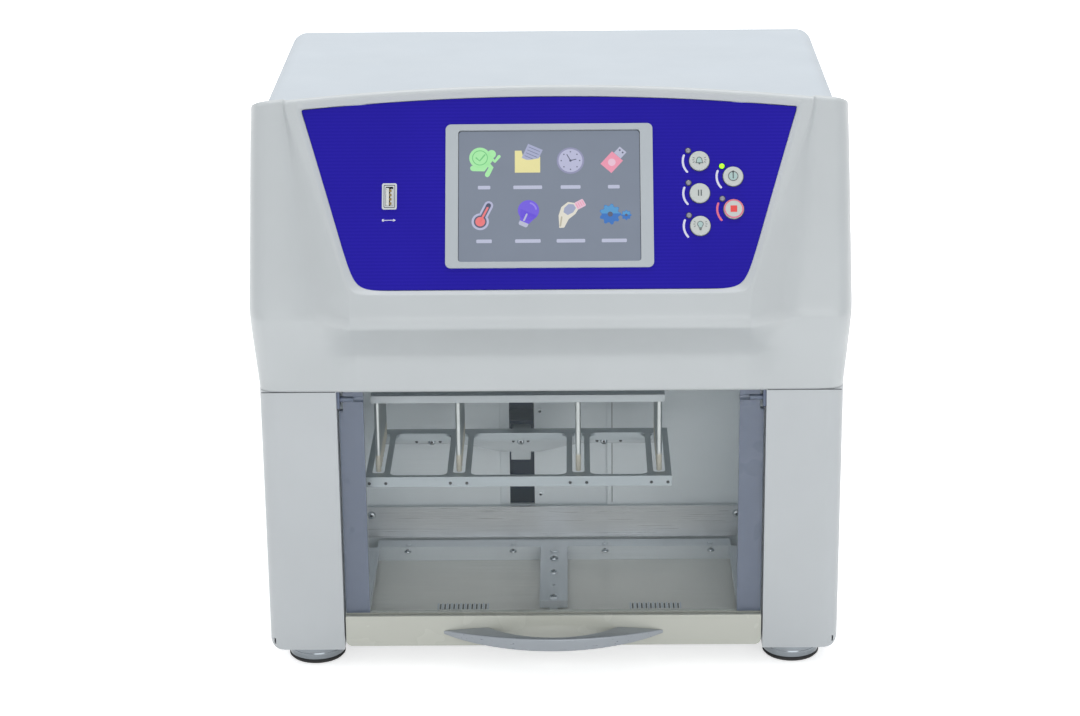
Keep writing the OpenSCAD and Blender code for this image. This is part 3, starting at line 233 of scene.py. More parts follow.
M = {
    "head": moulded("head_moulding_grey", (198, 203, 205), 0.36, 0.6, 0.012, Coat_Weight=0.12,
                    Coat_Roughness=0.3),
    "column": moulded("column_grey", (196, 201, 204), 0.38, 0.6, 0.012, Coat_Weight=0.1,
                      Coat_Roughness=0.3),
    "cabinet": moulded("cabinet_paint", (196, 200, 202), 0.45, 0.8, 0.02),
    "cover": moulded("cover_paint", (202, 210, 217), 0.45, 1.2, 0.012, Specular_IOR_Level=0.25),
    "panel": panel_foil(),
    "bezel": moulded("bezel_silver", (182, 189, 194), 0.38, 0.4, 0.006, Metallic=0.15),
    "dark": moulded("dark_moulding", (42, 44, 48), 0.5),
    "black": moulded("black_moulding", (20, 20, 22), 0.42, 0.7, 0.02),
    "gloss_black": moulded("rocker_gloss", (12, 12, 13), 0.18, 1.5, 0.004),
    "rubber": moulded("pad_rubber", (26, 26, 27), 0.75, 0.8, 0.05),
    "cream": moulded("rail_cream", (199, 201, 191), 0.26, 0.6, 0.004, Coat_Weight=0.6,
                     Coat_Roughness=0.08),
    "tip": moulded("tip_cream", (204, 200, 184), 0.45, 0.5, 0.01),
    "button": moulded("button_silver", (203, 208, 205), 0.32, 0.5, 0.006, Coat_Weight=0.2),
    "stile": moulded("stile_blue", (108, 118, 138), 0.3, 1.0, 0.006, Coat_Weight=0.3),
    "hinge": moulded("hinge_blue", (96, 106, 126), 0.35, 0.8, 0.01, Metallic=0.3),
    "board": moulded("board_green", (18, 84, 44), 0.4, 1.5, 0.03),
    "navy": moulded("shutter_navy", (14, 30, 66), 0.45, 0.8, 0.01),
    "motor": moulded("motor_black", (30, 30, 32), 0.38, 0.8, 0.02, Metallic=0.3),
    "wall": brushed("chamber_wall", (238, 245, 248), "X", 0.5, 0.98, 0.1, 0.002),
    "liner": brushed("chamber_sides", (218, 225, 230), "Y", 0.45, 0.97, 0.1, 0.002),
    "floor": brushed("chamber_floor", (232, 231, 223), "X", 0.36, 0.96, 0.2, 0.002),
    "band": brushed("brushed_band", (216, 219, 221), "X", 0.34, 0.93, 0.5, 0.004),
    "tray": brushed("tray_aluminium", (214, 221, 226), "X", 0.38, 0.96, 0.4, 0.004),
    "tray_rail": brushed("rail_aluminium", (212, 218, 223), "Y", 0.38, 0.96, 0.4, 0.004),
    "rack": brushed("rack_steel", (168, 177, 181), "X", 0.36, 0.95, 0.5, 0.004),
    "bracket": brushed("bracket_aluminium", (180, 187, 190), "X", 0.4, 0.96, 0.3, 0.004),
    "machined": brushed("machined_aluminium", (176, 180, 184), "Z", 0.35),
    "heater": brushed("heater_aluminium", (160, 156, 148), "X", 0.4),
    "sheet": brushed("supply_sheet", (168, 172, 176), "X", 0.42),
    "chrome": polished("ground_steel", (196, 200, 203), 0.12),
    "rod": polished("rod_chrome", (184, 189, 188), 0.34),
    "foot": polished("foot_chrome", (132, 138, 143), 0.16),
    "wire": polished("guard_wire", (190, 194, 198), 0.2),
    "contact": polished("port_contact", (150, 128, 84), 0.3),
    "port": polished("port_metal", (210, 214, 216), 0.22),
    "screw": polished("screw_steel", (188, 194, 198), 0.2),
    "handle": brushed("handle_silver", (158, 164, 170), "X", 0.34, 0.985, 0.4, 0.001),
    # Dark port parts, and painted shade in holes, screw sockets and the gap under the band
    "socket": moulded("dark_parts_and_painted_shade", (22, 23, 25), 0.5),
    "mark": moulded("icon_grey", (84, 92, 94), 0.5, 0.6, 0.002),
    "mark_white": moulded("print_white", (222, 222, 240), 0.45, 0.6, 0.002),
    "mark_red": moulded("print_red", (236, 78, 76), 0.45, 0.6, 0.002),
    "mark_pink": moulded("print_pink", (232, 110, 140), 0.45, 0.6, 0.002),
    "mark_teal": moulded("icon_pale", (176, 202, 200), 0.45, 0.6, 0.002),
    "led_off": moulded("led_off", (140, 140, 152), 0.3, 0.5, 0.002, Coat_Weight=0.5),
    "led_on": lit("led_on", (150, 255, 30), 1.6, 0.7),
    "display": lit("display_ground", (128, 138, 155), 0.74),
    "white_plastic": moulded("port_tongue", (226, 228, 224), 0.45),
    "gap": moulded("seam_shadow", (70, 74, 78), 0.8),
    "x_thread": screw_metal("x_thread", (170, 172, 174), 2, "X"),
    "z_thread": screw_metal("z_thread", (170, 172, 174), 2, "Z"),
}


def pane_glass():
    s = Shader("door_glass", (150, 164, 170), 0.03, Alpha=0.06)
    s.tint(s.noise(70), (140, 156, 164), 0, 0.5)
    s.uneven(s.noise(40), 0.01)
    return s.mat


def lamp_glass():
    s = Shader("lamp_glass", (236, 240, 246), 0.08, Transmission_Weight=0.35, IOR=1.45)
    s.tint(s.noise(30), (226, 232, 244), 0, 0.5)
    return s.mat


M["glass"], M["lamp"] = pane_glass(), lamp_glass()

NODE_LOOKS = {
    "base_pan": "cabinet", "front_column_left": "column", "front_column_right": "column",
    "side_panel_left": "cabinet", "side_panel_right": "cabinet", "rear_panel": "cabinet",
    "top_cover": "cover", "head_cover": "head", "control_panel": "panel", "screen_bezel": "bezel",
    "display_module": "dark", "usb_port": "port", "status_leds": "led_off",
    "circuit_boards": "board", "power_supply": "sheet", "power_inlet": "black",
    "power_rocker": "gloss_black", "fan_frame": "black", "fan_rotor": "dark", "fan_guard": "wire",
    "chamber_floor": "floor", "chamber_liner": "liner", "chamber_back": "wall", "back_band": "band",
    "tray_back_rail": "tray", "tray_centre_rail": "tray_rail", "tray_guides": "tray_rail",
    "heater_plates": "heater", "uv_lamp": "lamp", "drive_uprights": "machined", "x_rails": "chrome",
    "x_motor": "motor", "x_lead_screw": "x_thread", "x_carriage": "navy",
    "shutter_plate": "wall", "z_guides": "chrome", "z_motor": "motor", "z_lead_screw": "z_thread",
    "sleeve_slide": "navy", "sleeve_bracket": "bracket", "sleeve_frame": "rack",
    "rod_motor": "motor", "rod_lead_screw": "z_thread", "rod_slide": "navy",
    "rod_plate": "bracket", "magnet_rods": "rod", "magnet_tips": "tip", "hinge_brackets": "hinge",
    "hinge_pins": "hinge", "door_glass": "glass", "door_stiles": "stile", "door_rail": "cream",
    "door_handle": "handle", "button_bell": "button", "button_pause": "button",
    "button_lamp": "button", "button_start": "button", "button_stop": "button", "feet": "foot",
    "foot_pads": "rubber",
}
# Nodes by the rounding of their edges in millimetres; a node with a finer mesh below needs none
ROUNDED = {
    0.15: ("usb_port",),
    0.2: ("shutter_plate", "chamber_back"),
    0.3: ("back_band", "hinge_brackets", "button_bell", "button_pause", "button_lamp",
          "button_start", "button_stop", "base_pan"),
    0.4: ("rear_panel", "power_inlet", "power_rocker", "tray_back_rail", "tray_centre_rail",
          "tray_guides", "rod_plate", "rod_slide", "door_glass", "door_stiles"),
    0.5: ("side_panel_left", "side_panel_right", "screen_bezel", "fan_frame", "x_carriage",
          "sleeve_slide", "x_motor", "z_motor", "rod_motor", "power_supply"),
    0.6: ("top_cover",),
    1.0: ("front_column_left", "front_column_right"),
    1.2: ("door_rail",),
}


def smoothed(obj, bevel_mm=0):
    """Shades smoothly; with a bevel it first welds the split edges and rounds the sharp ones."""
    if bevel_mm:
        obj.modifiers.new("weld", "WELD").merge_threshold = 1e-6
        mod = obj.modifiers.new("round", "BEVEL")
        mod.width, mod.segments = bevel_mm * MM, 2
        mod.limit_method, mod.angle_limit = "ANGLE", math.radians(32)
        mod.use_clamp_overlap = True
    mod = obj.modifiers.new("normals", "WEIGHTED_NORMAL")
    mod.keep_sharp = True
    for p in obj.data.polygons:
        p.use_smooth = True


for name, obj in NODES.items():
    obj.data.materials.clear()
    obj.data.materials.append(M[NODE_LOOKS[name]])
for radius, names in ROUNDED.items():
    for name in names:
        smoothed(NODES[name], radius)

# ---- Building pieces ----


def new_object(name, data):
    obj = bpy.data.objects.new(name, data)
    bpy.context.collection.objects.link(obj)
    return obj


def piece(name, verts, faces, look, body="chassis", slot=None, smooth=True):
    """A mesh object that rides on a body of the frame."""
    mesh = bpy.data.meshes.new(name)
    mesh.from_pydata([tuple(v) for v in verts], [], faces)
    bm = bmesh.new()
    bm.from_mesh(mesh)
    bmesh.ops.remove_doubles(bm, verts=bm.verts, dist=1e-7)
    bmesh.ops.recalc_face_normals(bm, faces=bm.faces)
    bm.to_mesh(mesh)
    bm.free()
    for p in mesh.polygons:
        p.use_smooth = smooth
    obj = new_object(name, mesh)
    mesh.materials.append(M[look])
    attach(obj, body)
    return obj


def tube_faces(rings, steps):
    """Quads between closed rings of points that follow each other, and a face over each end."""
    faces = []
    for r in range(rings - 1):
        for c in range(steps):
            d = (c + 1) % steps
            faces.append((r * steps + c, r * steps + d, (r + 1) * steps + d, (r + 1) * steps + c))
    last = (rings - 1) * steps
    return faces + [tuple(range(steps)), tuple(range(last, last + steps))]


def lathe(profile, place, steps=32):
    """Turns a profile of (radius, height) pairs about an axis; place maps (u, v, w) to a point."""
    verts = []
    for r, h in profile:
        for k in range(steps):
            a = 2 * math.pi * k / steps
            verts.append(place(r * math.cos(a), r * math.sin(a), h))
    return verts, tube_faces(len(profile), steps)


def joined(parts):
    """Several (points, faces) as one."""
    verts, faces = [], []
    for v, f in parts:
        faces += [tuple(i + len(verts) for i in face) for face in f]
        verts += v
    return verts, faces


# ---- Flat figures: each is an outline, or a ring between two outlines of as many points ----

def ring(inner, outer):
    return ("ring", inner, outer)


def spoke(x, y, r, degrees):
    """The point at a distance and an angle from (x, y)."""
    a = math.radians(degrees)
    return (x + r * math.cos(a), y + r * math.sin(a))


def arc(x, y, r, a0, a1, n=14):
    return [spoke(x, y, r, a0 + (a1 - a0) * k / n) for k in range(n + 1)]


def disc(x, y, r, n=28):
    turns = [2 * math.pi * k / n for k in range(n)]
    return [(x + r * math.cos(a), y + r * math.sin(a)) for a in turns]


def rect(x, y, w, h, turn=0.0, r=0.0):
    """A rectangle round (x, y), turned by degrees, with corners of radius r."""
    pts = []
    for sx, sy, a0 in ((1, 1, 0), (-1, 1, 90), (-1, -1, 180), (1, -1, 270)):
        for k in range(5 if r else 1):
            a = math.radians(a0 + 22.5 * k)
            pts.append((sx * (w / 2 - r) + r * math.cos(a), sy * (h / 2 - r) + r * math.sin(a)) if r
                       else (sx * w / 2, sy * h / 2))
    c, s = math.cos(math.radians(turn)), math.sin(math.radians(turn))
    return [(x + u * c - v * s, y + u * s + v * c) for u, v in pts]


def stroke(points, width, closed=False):
    """An outline round a path, with the given line width; a closed path gives a ring."""
    n = len(points)
    left, right = [], []
    for i, p in enumerate(points):
        a = points[i - 1] if i or closed else p
        b = points[(i + 1) % n] if i < n - 1 or closed else p
        dx, dy = b[0] - a[0], b[1] - a[1]
        size = math.hypot(dx, dy) or 1
        left.append((p[0] - dy / size * width / 2, p[1] + dx / size * width / 2))
        right.append((p[0] + dy / size * width / 2, p[1] - dx / size * width / 2))
    if closed:
        return ring(left, right)
    caps = []
    for p, q in ((points[-1], points[-2]), (points[0], points[1])):
        a0 = math.atan2(p[1] - q[1], p[0] - q[0])
        caps.append([(p[0] + width / 2 * math.cos(a0 + t), p[1] + width / 2 * math.sin(a0 + t))
                     for t in (math.pi / 4, 0, -math.pi / 4)])
    return left + caps[0] + right[::-1] + caps[1]


def slab(figures, place, low, high):
    """Closed thin solids over flat figures; place maps (x, y, height) to a point."""
    verts, faces = [], []
    for fig in figures:
        if fig[0] == "ring":
            n, base = len(fig[1]), len(verts)
            for h in (low, high):
                for loop in fig[1:]:
                    verts += [place(x, y, h) for x, y in loop]
            for k in range(n):
                d = (k + 1) % n
                for a, b in ((0, 1), (1, 3), (3, 2), (2, 0)):
                    low_loop, high_loop = base + a * n, base + b * n
                    faces.append((low_loop + k, low_loop + d, high_loop + d, high_loop + k))
            continue
        n, base = len(fig), len(verts)
        verts += [place(x, y, low) for x, y in fig] + [place(x, y, high) for x, y in fig]
        faces.append(tuple(range(base + n - 1, base - 1, -1)))
        faces.append(tuple(range(base + n, base + 2 * n)))
        faces += [(base + k, base + (k + 1) % n, base + n + (k + 1) % n, base + n + k)
                  for k in range(n)]
    return verts, faces


def figure(name, figures, look, place, low, high, body="chassis", slot=None):
    return piece(name, *slab(figures, place, low, high), look, body, slot, smooth=False)


# ---- Head moulding ----
EDGE_SIDE, EDGE_BACK, EDGE_TOP, CORNER_H = 12, 24, 9, 30    # rounding of the outer edges
RIDGE_TOP, RIDGE_BOTTOM = 10, 5                 # from the panel's edge to the crown's ridge
VALLEY_X, VALLEY_OUT, VALLEY_GAP = 147, 20, 2      # where the flanks run out into the lobes
BAND_H, BAND_LEAN, UNDER = 27, 4, 53            # lower band, and the chin's turn below it
RIM_R, RIM_START, RIM_TURN = 4, 0.5, 116
LOBE_OUT, LOBE_Z, LOBE_TILT, LOBE_BLEND = 24, 251, 24.5, 6
CHIN_Y = (CHIN_R - CROWN + (CHIN_Z - PANEL_Z) * SIN) / COS
HEAD_WALL = 2.6
# Rows of the grid run from the lower edge to the back of the hood: the chin's first, the panel's
# lowest and highest, the rim's first, and the last
CHIN, LOW, HIGH, RIM, ROWS = 5, 11, 16, 18, 23
# Columns run from the middle to each side: panel's edge, ridge, valley, outer edge
EDGE, RIDGE, VALLEY, COLS = 6, 8, 11, 17
STEPS = (0, 0.2, 0.4, 0.6, 0.8)                 # first columns, as shares of the panel's half
CORNER_CUT = {(EDGE, LOW): 0.16 * PANEL_R, (EDGE + 1, LOW - 1): 0.16 * (PANEL_R + BORDER)}


def mix(a, b, k):
    return a + (b - a) * k


def mix2(a, b, k):
    return (mix(a[0], b[0], k), mix(a[1], b[1], k))


def ease(k):
    t = min(1, max(0, k))
    return t * t * (3 - 2 * t)


def panel_half(s):
    """Half the panel's width at the height s on its slope."""
    grow = (PANEL_TOP - PANEL_BOTTOM) / 2
    return PANEL_BOTTOM / 2 + grow * (s + PANEL_DOWN) / (PANEL_UP + PANEL_DOWN)


def arch(x):
    """The panel's upper edge."""
    return PANEL_UP + ARCH * (1 - (x / (PANEL_TOP / 2)) ** 2)


def panel_point(s, n):
    return (s * SIN - n * COS, PANEL_Z + s * COS + n * SIN)


def chin_point(k):
    a = math.radians(-UNDER + (TILT + UNDER) * k / 4)
    return (CHIN_Y - CHIN_R * math.cos(a), CHIN_Z + CHIN_R * math.sin(a))


def rim_point(k, x):
    a = math.radians(TILT + (RIM_TURN - TILT) * k / 4)
    c = panel_point(arch(x) + BORDER + RIM_START, CROWN - RIM_R)
    return (c[0] - RIM_R * math.cos(a), c[1] + RIM_R * math.sin(a))


def row_s(j):
    """A row's height on the panel's slope."""
    if j <= LOW:
        return -PANEL_DOWN if j == LOW else -PANEL_DOWN - BORDER
    start = -PANEL_DOWN + PANEL_R
    return mix(start, PANEL_UP, (j - LOW - 1) / (HIGH - LOW - 1)) if j < HIGH else PANEL_UP


def line_point(j, x, n):
    """Depth and height of a row at x, before the flanks and edges fall away."""
    z = SEAM_Z + BAND_H
    first = {0: (0, SEAM_Z), 1: (-BAND_LEAN / 2, SEAM_Z + BAND_H / 2), 2: (-BAND_LEAN * 0.85, z - 4),
             3: (-BAND_LEAN - 4, z + 3), 4: mix2((-BAND_LEAN - 4, z + 3), chin_point(0), 0.5)}
    if j in first:
        return first[j]
    if j <= CHIN + 4:
        return chin_point(j - CHIN)
    if j < LOW:
        return panel_point(-PANEL_DOWN - BORDER, n)
    if j < HIGH:
        return panel_point(row_s(j) + (arch(x) - PANEL_UP) * (j - LOW) / (HIGH - LOW), n)
    if j <= HIGH + 1:
        return panel_point(arch(x) + (BORDER if j > HIGH else 0), n)
    return rim_point(j - RIM, x) if j <= RIM + 4 else (HOOD_BACK, BODY_H + SHELL)


KINK_Z = chin_point(0)[1]


def low_taper(z):
    """0 at the lower edge, where the head is as wide as the body, and 1 from the chin up."""
    return min(1, max(0, (z - SEAM_Z) / (KINK_Z - SEAM_Z)))


def side_scale(z):
    return mix(BODY_W / HEAD_W, 1, low_taper(z))


def column_x(i, j, z):
    """A column's place across, at a row and a height."""
    e = panel_half(row_s(j))
    if i < len(STEPS):
        return STEPS[i] * e
    if i <= EDGE + 1:
        return e + {EDGE - 1: -PANEL_R, EDGE: 0, EDGE + 1: BORDER}[i]
    if i <= VALLEY:
        up = (row_s(j) + PANEL_DOWN) / (PANEL_UP + PANEL_DOWN)
        ridge = e + mix(RIDGE_BOTTOM, RIDGE_TOP, up)
        valley = max(VALLEY_X + VALLEY_OUT * ease((z - SEAM_Z) / (PANEL_Z - SEAM_Z)),
                     ridge + VALLEY_GAP)
        return mix(ridge, valley, (i - RIDGE) / (VALLEY - RIDGE))
    start = HEAD_W / 2 - EDGE_SIDE
    turn = math.radians(90 * (i - VALLEY - 1) / (COLS - VALLEY - 1))
    return side_scale(z) * (start + EDGE_SIDE * math.sin(turn))


def side_lobe(z):
    """Depth of a side lobe's front: two slopes with a round ridge between them."""
    a = -LOBE_OUT * (z - SEAM_Z) / (LOBE_Z - SEAM_Z)
    b = -LOBE_OUT + (z - LOBE_Z) * math.tan(math.radians(LOBE_TILT))
    h = max(0, LOBE_BLEND - abs(a - b)) / LOBE_BLEND
    return max(a, b) + h * h * LOBE_BLEND / 4


def head_point(i, j):
    """The grid's point at a column and a row: across, set-back, height."""
    n = 0 if LOW <= j <= HIGH and i <= EDGE else CROWN
    z0 = line_point(j, 0, n)[1]
    x = column_x(i, j, z0)
    p = line_point(j, x, n)
    cut = CORNER_CUT.get((i, j), 0)
    fade = 0 if j > RIM + 4 else 1
    k = ease((i - RIDGE) / (VALLEY - RIDGE))
    rim = line_point(RIM, x, CROWN)
    top = 1 if j > RIM else ease(1 + (p[1] - rim[1]) / CORNER_H)
    drop = side_lobe(rim[1]) - rim[0] if j > RIM else side_lobe(p[1]) - p[0]
    q = max(0, x / side_scale(z0) - (HEAD_W / 2 - EDGE_SIDE)) / EDGE_SIDE
    rounding = 1 - math.sqrt(max(0, 1 - q * q))
    back = mix(EDGE_SIDE, EDGE_BACK, low_taper(z0))
    return (x - cut, p[0] + k * drop * fade + rounding * back * fade + cut * SIN,
            p[1] - rounding * EDGE_TOP * top + cut * COS)


def build_head():
    """The grid with its sides drawn back, smoothed by subdivision and given its wall."""
    verts, index = [], {}
    for i in range(-COLS, COLS + 1):
        for j in range(ROWS + 1):
            x, y, z = head_point(abs(i), j)
            index[i, j] = len(verts)
            verts.append(at(math.copysign(x, i) if i else 0, y, z))
    top_z, end_z = head_point(COLS, ROWS - 1)[2], head_point(COLS, ROWS)[2]
    min_step = 0.6    # keeps the rows at the back in order, so that the wall doesn't fold
    for _, side in SIDES:
        for j in range(ROWS - 1):
            x, _, z = head_point(COLS, j)
            index[side * (COLS + 1), j] = len(verts)
            back_z = SEAM_Z + (z - SEAM_Z) * (end_z - SEAM_Z) / (top_z - SEAM_Z)
            verts.append(at(side * x, HOOD_BACK, min(back_z, end_z - min_step * (ROWS - 1 - j))))
        index[side * (COLS + 1), ROWS - 1] = index[side * COLS, ROWS]
    faces = []
    for i in range(-COLS - 1, COLS + 1):
        for j in range(ROWS):
            in_panel = -EDGE <= i < EDGE and LOW <= j < HIGH
            in_corner = i in (-COLS - 1, COLS) and j == ROWS - 1
            if in_panel or in_corner:
                continue
            quad = [index[i, j], index[i, j + 1], index[i + 1, j + 1], index[i + 1, j]]
            quad = [q for k, q in enumerate(quad) if q not in quad[:k]]
            faces.append(tuple(quad))
    mesh = bpy.data.meshes.new("head_moulding")
    mesh.from_pydata([tuple(v) for v in verts], [], faces)
    bm = bmesh.new()
    bm.from_mesh(mesh)
    bm.verts.ensure_lookup_table()
    crease = bm.edges.layers.float.new("crease_edge")
    point = bm.verts.layers.float.new("crease_vert")
    cells = {v: k for k, v in index.items() if abs(k[0]) <= COLS}
    loops = ((EDGE, LOW, HIGH, 1.0), (EDGE + 1, LOW - 1, HIGH + 1, 0.75))
    for e in bm.edges:
        a, b = (cells.get(v.index) for v in e.verts)
        if a is None or b is None:
            continue
        for edge_col, low_row, high_row, amount in loops:
            on_loop = [abs(k[0]) == edge_col and low_row <= k[1] <= high_row
                       or k[1] in (low_row, high_row) and abs(k[0]) <= edge_col for k in (a, b)]
            same = abs(a[0]) == abs(b[0]) == edge_col or a[1] == b[1]
            if all(on_loop) and same:
                e[crease] = amount
        if abs(a[0]) == abs(b[0]) == RIDGE and min(a[1], b[1]) >= CHIN + 4:
            e[crease] = 0.35
    sharp = ((EDGE, HIGH, 0.85), (EDGE + 1, HIGH + 1, 0.85), (COLS, ROWS, 1), (COLS + 1, 0, 1))
    for _, side in SIDES:
        for i, j, amount in sharp:
            bm.verts[index[side * i, j]][point] = amount
    bmesh.ops.recalc_face_normals(bm, faces=bm.faces)
    bm.to_mesh(mesh)
    bm.free()
    obj = new_object("head_moulding", mesh)
    mesh.materials.append(M["head"])
    for p in mesh.polygons:
        p.use_smooth = True
    sub = obj.modifiers.new("curves", "SUBSURF")
    sub.levels = sub.render_levels = 3
    wall = obj.modifiers.new("wall", "SOLIDIFY")
    wall.thickness, wall.offset, wall.use_even_offset = HEAD_WALL * MM, -1, False
    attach(obj, "chassis")
    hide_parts("head_cover")


build_head()

# ---- Control panel ----
PANEL_T, PANEL_GAP = 2.8, 0.35
SCREEN_HOLE, PORT_HOLE = (115.2 + 4.6, 86.4 + 3.6), (8.6, 16.4)


def panel_edge(gap, steps=10):
    """The panel's outline: two round bottom corners and an arched top."""
    lean = math.atan((PANEL_TOP - PANEL_BOTTOM) / 2 / (PANEL_UP + PANEL_DOWN))
    r, low = PANEL_R, -PANEL_DOWN + gap
    cx = panel_half(low + r) - (gap + r) / math.cos(lean)
    half = panel_half(PANEL_UP) - gap / math.cos(lean)
    side = [(cx + r * math.cos(a), low + r + r * math.sin(a))
            for a in (mix(-math.pi / 2, -lean, k / steps) for k in range(steps + 1))]
    top = [(x, arch(x) - gap) for x in (half * (1 - k / 20) for k in range(41))]
    return side + top + [(-x, y) for x, y in reversed(side)]


def build_panel():
    """The sheet, with holes for the display, the port, the buttons and the lights."""
    outline, out = panel_edge(PANEL_GAP), Vector((0, -COS, SIN))
    holes = [rect(0, 0, *SCREEN_HOLE), rect(PORT_X, 0, *PORT_HOLE)]
    for bx, bs in BUTTONS.values():
        holes += [disc(bx, bs, BUTTON_R + 0.3, 48), disc(bx - LED_SHIFT, bs + LED_SHIFT, LED_R, 24)]
    bm = bmesh.new()
    edges = []
    for loop in [outline] + holes:
        vs = [bm.verts.new(on_panel(u, v, 0)) for u, v in loop]
        edges += [bm.edges.new((vs[k], vs[(k + 1) % len(vs)])) for k in range(len(vs))]
    bmesh.ops.triangle_fill(bm, edges=edges, use_beauty=True, use_dissolve=False, normal=out)
    for f in bm.faces:
        if f.normal.dot(out) < 0:
            f.normal_flip()
    mesh = bpy.data.meshes.new("panel_sheet")
    bm.to_mesh(mesh)
    bm.free()
    obj = new_object("panel_sheet", mesh)
    mesh.materials.append(M["panel"])
    wall = obj.modifiers.new("thickness", "SOLIDIFY")
    wall.thickness, wall.offset = PANEL_T * MM, -1
    edge = obj.modifiers.new("round", "BEVEL")
    edge.width, edge.segments, edge.limit_method = 0.25 * MM, 2, "ANGLE"
    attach(obj, "chassis")
    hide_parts("control_panel")


build_panel()

# ---- Feet ----
FOOT_TOP = 12
feet_places = [(-160, 22), (160, 22), (-160, 280), (160, 280)]
turned_body = [(15.5, FOOT_TOP), (17.2, FOOT_TOP - 0.6), (17.8, FOOT_TOP - 1.6), (17.9, 7.6),
               (18.2, 7.0), (18.5, 6.4), (18.5, 3.2), (18.2, 2.9)]
turned_pad = [(17.4, 3.0), (18.3, 2.9), (18.9, 2.4), (18.9, 1.4), (17.6, 0.0), (12, 0.0), (11, 0.8)]
for name, profile, look, slot, node in (
        ("foot_bodies", turned_body, "foot", "foot_chrome", "feet"),
        ("foot_rings", turned_pad, "rubber", "pad_rubber", "foot_pads")):
    made = joined([lathe(profile, lambda u, v, w, x=x, y=y: at(x + u, y + v, w), 64)
                   for x, y in feet_places])
    obj = piece(name, *made, look, slot=slot)
    smoothed(obj)
    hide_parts(node)

# ---- Door handle: a crescent with a rounded section ----


def build_handle():
    span, out, bar, gap_w, high, tip_h = 146.8, 22, 4, 86, 9, 1.8
    root, fillet = 1.0, 1.1
    rail_bottom, rail_h = 14, 21.6
    middle = rail_bottom + rail_h / 2 - 1
    outer_r = (span ** 2 / 4 + out ** 2) / (2 * out)
    gap_out = out - bar
    inner_r = (gap_w ** 2 / 4 + gap_out ** 2) / (2 * gap_out)
    stations, corner = 141, 5
    verts = []
    for k in range(stations):
        t = math.sin(math.radians(-90 + 180 * k / (stations - 1)))
        x = span / 2 * 0.996 * t
        front = root + outer_r - out - math.sqrt(outer_r ** 2 - x * x)
        back = root
        if abs(x) < gap_w / 2 + 3:
            edge = root + inner_r - gap_out - math.sqrt(inner_r ** 2 - min(abs(x), gap_w / 2) ** 2)
            blend = ease(1 - (abs(x) - gap_w / 2 + 1) / 4)
            back = min(root, mix(root, edge, blend))
        tall = tip_h + (high - tip_h) * max(0, 1 - t * t) ** 0.62
        r = min(fillet, (back - front) / 2 * 0.98)
        rz = min(fillet, tall / 2 - 0.1)
        z0 = middle - tall / 2
        for cy, cz, a0 in ((front + r, z0 + rz, 180), (back - r, z0 + rz, 270),
                           (back - r, z0 + tall - rz, 0), (front + r, z0 + tall - rz, 90)):
            for c in range(corner + 1):
                a = math.radians(a0 + 90 * c / corner)
                verts.append(at(x, cy + r * math.cos(a), cz + rz * math.sin(a)))
    faces = tube_faces(stations, 4 * (corner + 1))
    obj = piece("handle_bow", verts, faces, "handle", "door", "handle_silver")
    smoothed(obj)
    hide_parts("door_handle")


build_handle()

# ---- Display ----
DISPLAY_N, DISPLAY_W, DISPLAY_H = -0.75, 114.6, 85.8
IMAGE_T, ICON_TOP, LAYER, ICON_SIZE = 0.12, 0.2, 0.06, 1.1
COL_X, ROW_S, CAPTION_S = (-41.2, -13.6, 13.5, 40.8), (23.2, -12.2), (5.8, -29.4)
CAPTION_W = ((7.9, 18.2, 12.6, 7.4), (9.8, 16.1, 18.0, 15.8))


def on_display(x, y, h):
    return on_panel(x, y, DISPLAY_N + h)


figure("display_image", [rect(0, 0, DISPLAY_W, DISPLAY_H, 0, 2)], "display", on_display, 0, IMAGE_T,
       slot="display_face")

ICON_COLOURS = {
    "green": (178, 250, 178), "green_dark": (128, 214, 140), "yellow": (246, 238, 170),
    "paper": (176, 182, 214), "paper_line": (120, 126, 160), "pale": (196, 198, 228),
    "pale_dark": (152, 154, 188), "ink": (92, 96, 120), "pink": (250, 160, 186),
    "pink_light": (246, 204, 224), "silver": (196, 200, 224), "red": (250, 128, 132),
    "violet": (120, 96, 236), "violet_light": (158, 138, 250), "ivory": (238, 234, 220),
    "blue": (52, 118, 200), "cyan": (84, 160, 216), "steel": (168, 176, 206),
    "shade": (196, 190, 170), "caption": (198, 203, 227),
}
for key, rgb in ICON_COLOURS.items():
    M["icon_" + key] = lit("icon_" + key, rgb, 0.72)


def icon(name, col, row, layers):
    """Flat figures round (0, 0), stacked: (colour, figures) from the lowest to the top one."""
    x, s = COL_X[col], ROW_S[row]
    for k, (colour, figures) in enumerate(layers):
        figure(f"icon_{name}_{k}", figures, "icon_" + colour,
               lambda u, v, h: on_display(x + u * ICON_SIZE, s + v * ICON_SIZE, h),
               IMAGE_T + LAYER * k, ICON_TOP + LAYER * k, slot="display_face")


def moved(points, x, y, turn):
    c, s = math.cos(math.radians(turn)), math.sin(math.radians(turn))
    return [(x + u * c - v * s, y + u * s + v * c) for u, v in points]


def gear(x, y, r, teeth):
    pts = []
    for k in range(teeth * 8):
        a = 2 * math.pi * k / (teeth * 8)
        reach = r * (1 + 0.11 * math.tanh(3 * math.cos(teeth * a)))
        pts.append((x + reach * math.cos(a), y + reach * math.sin(a)))
    return pts


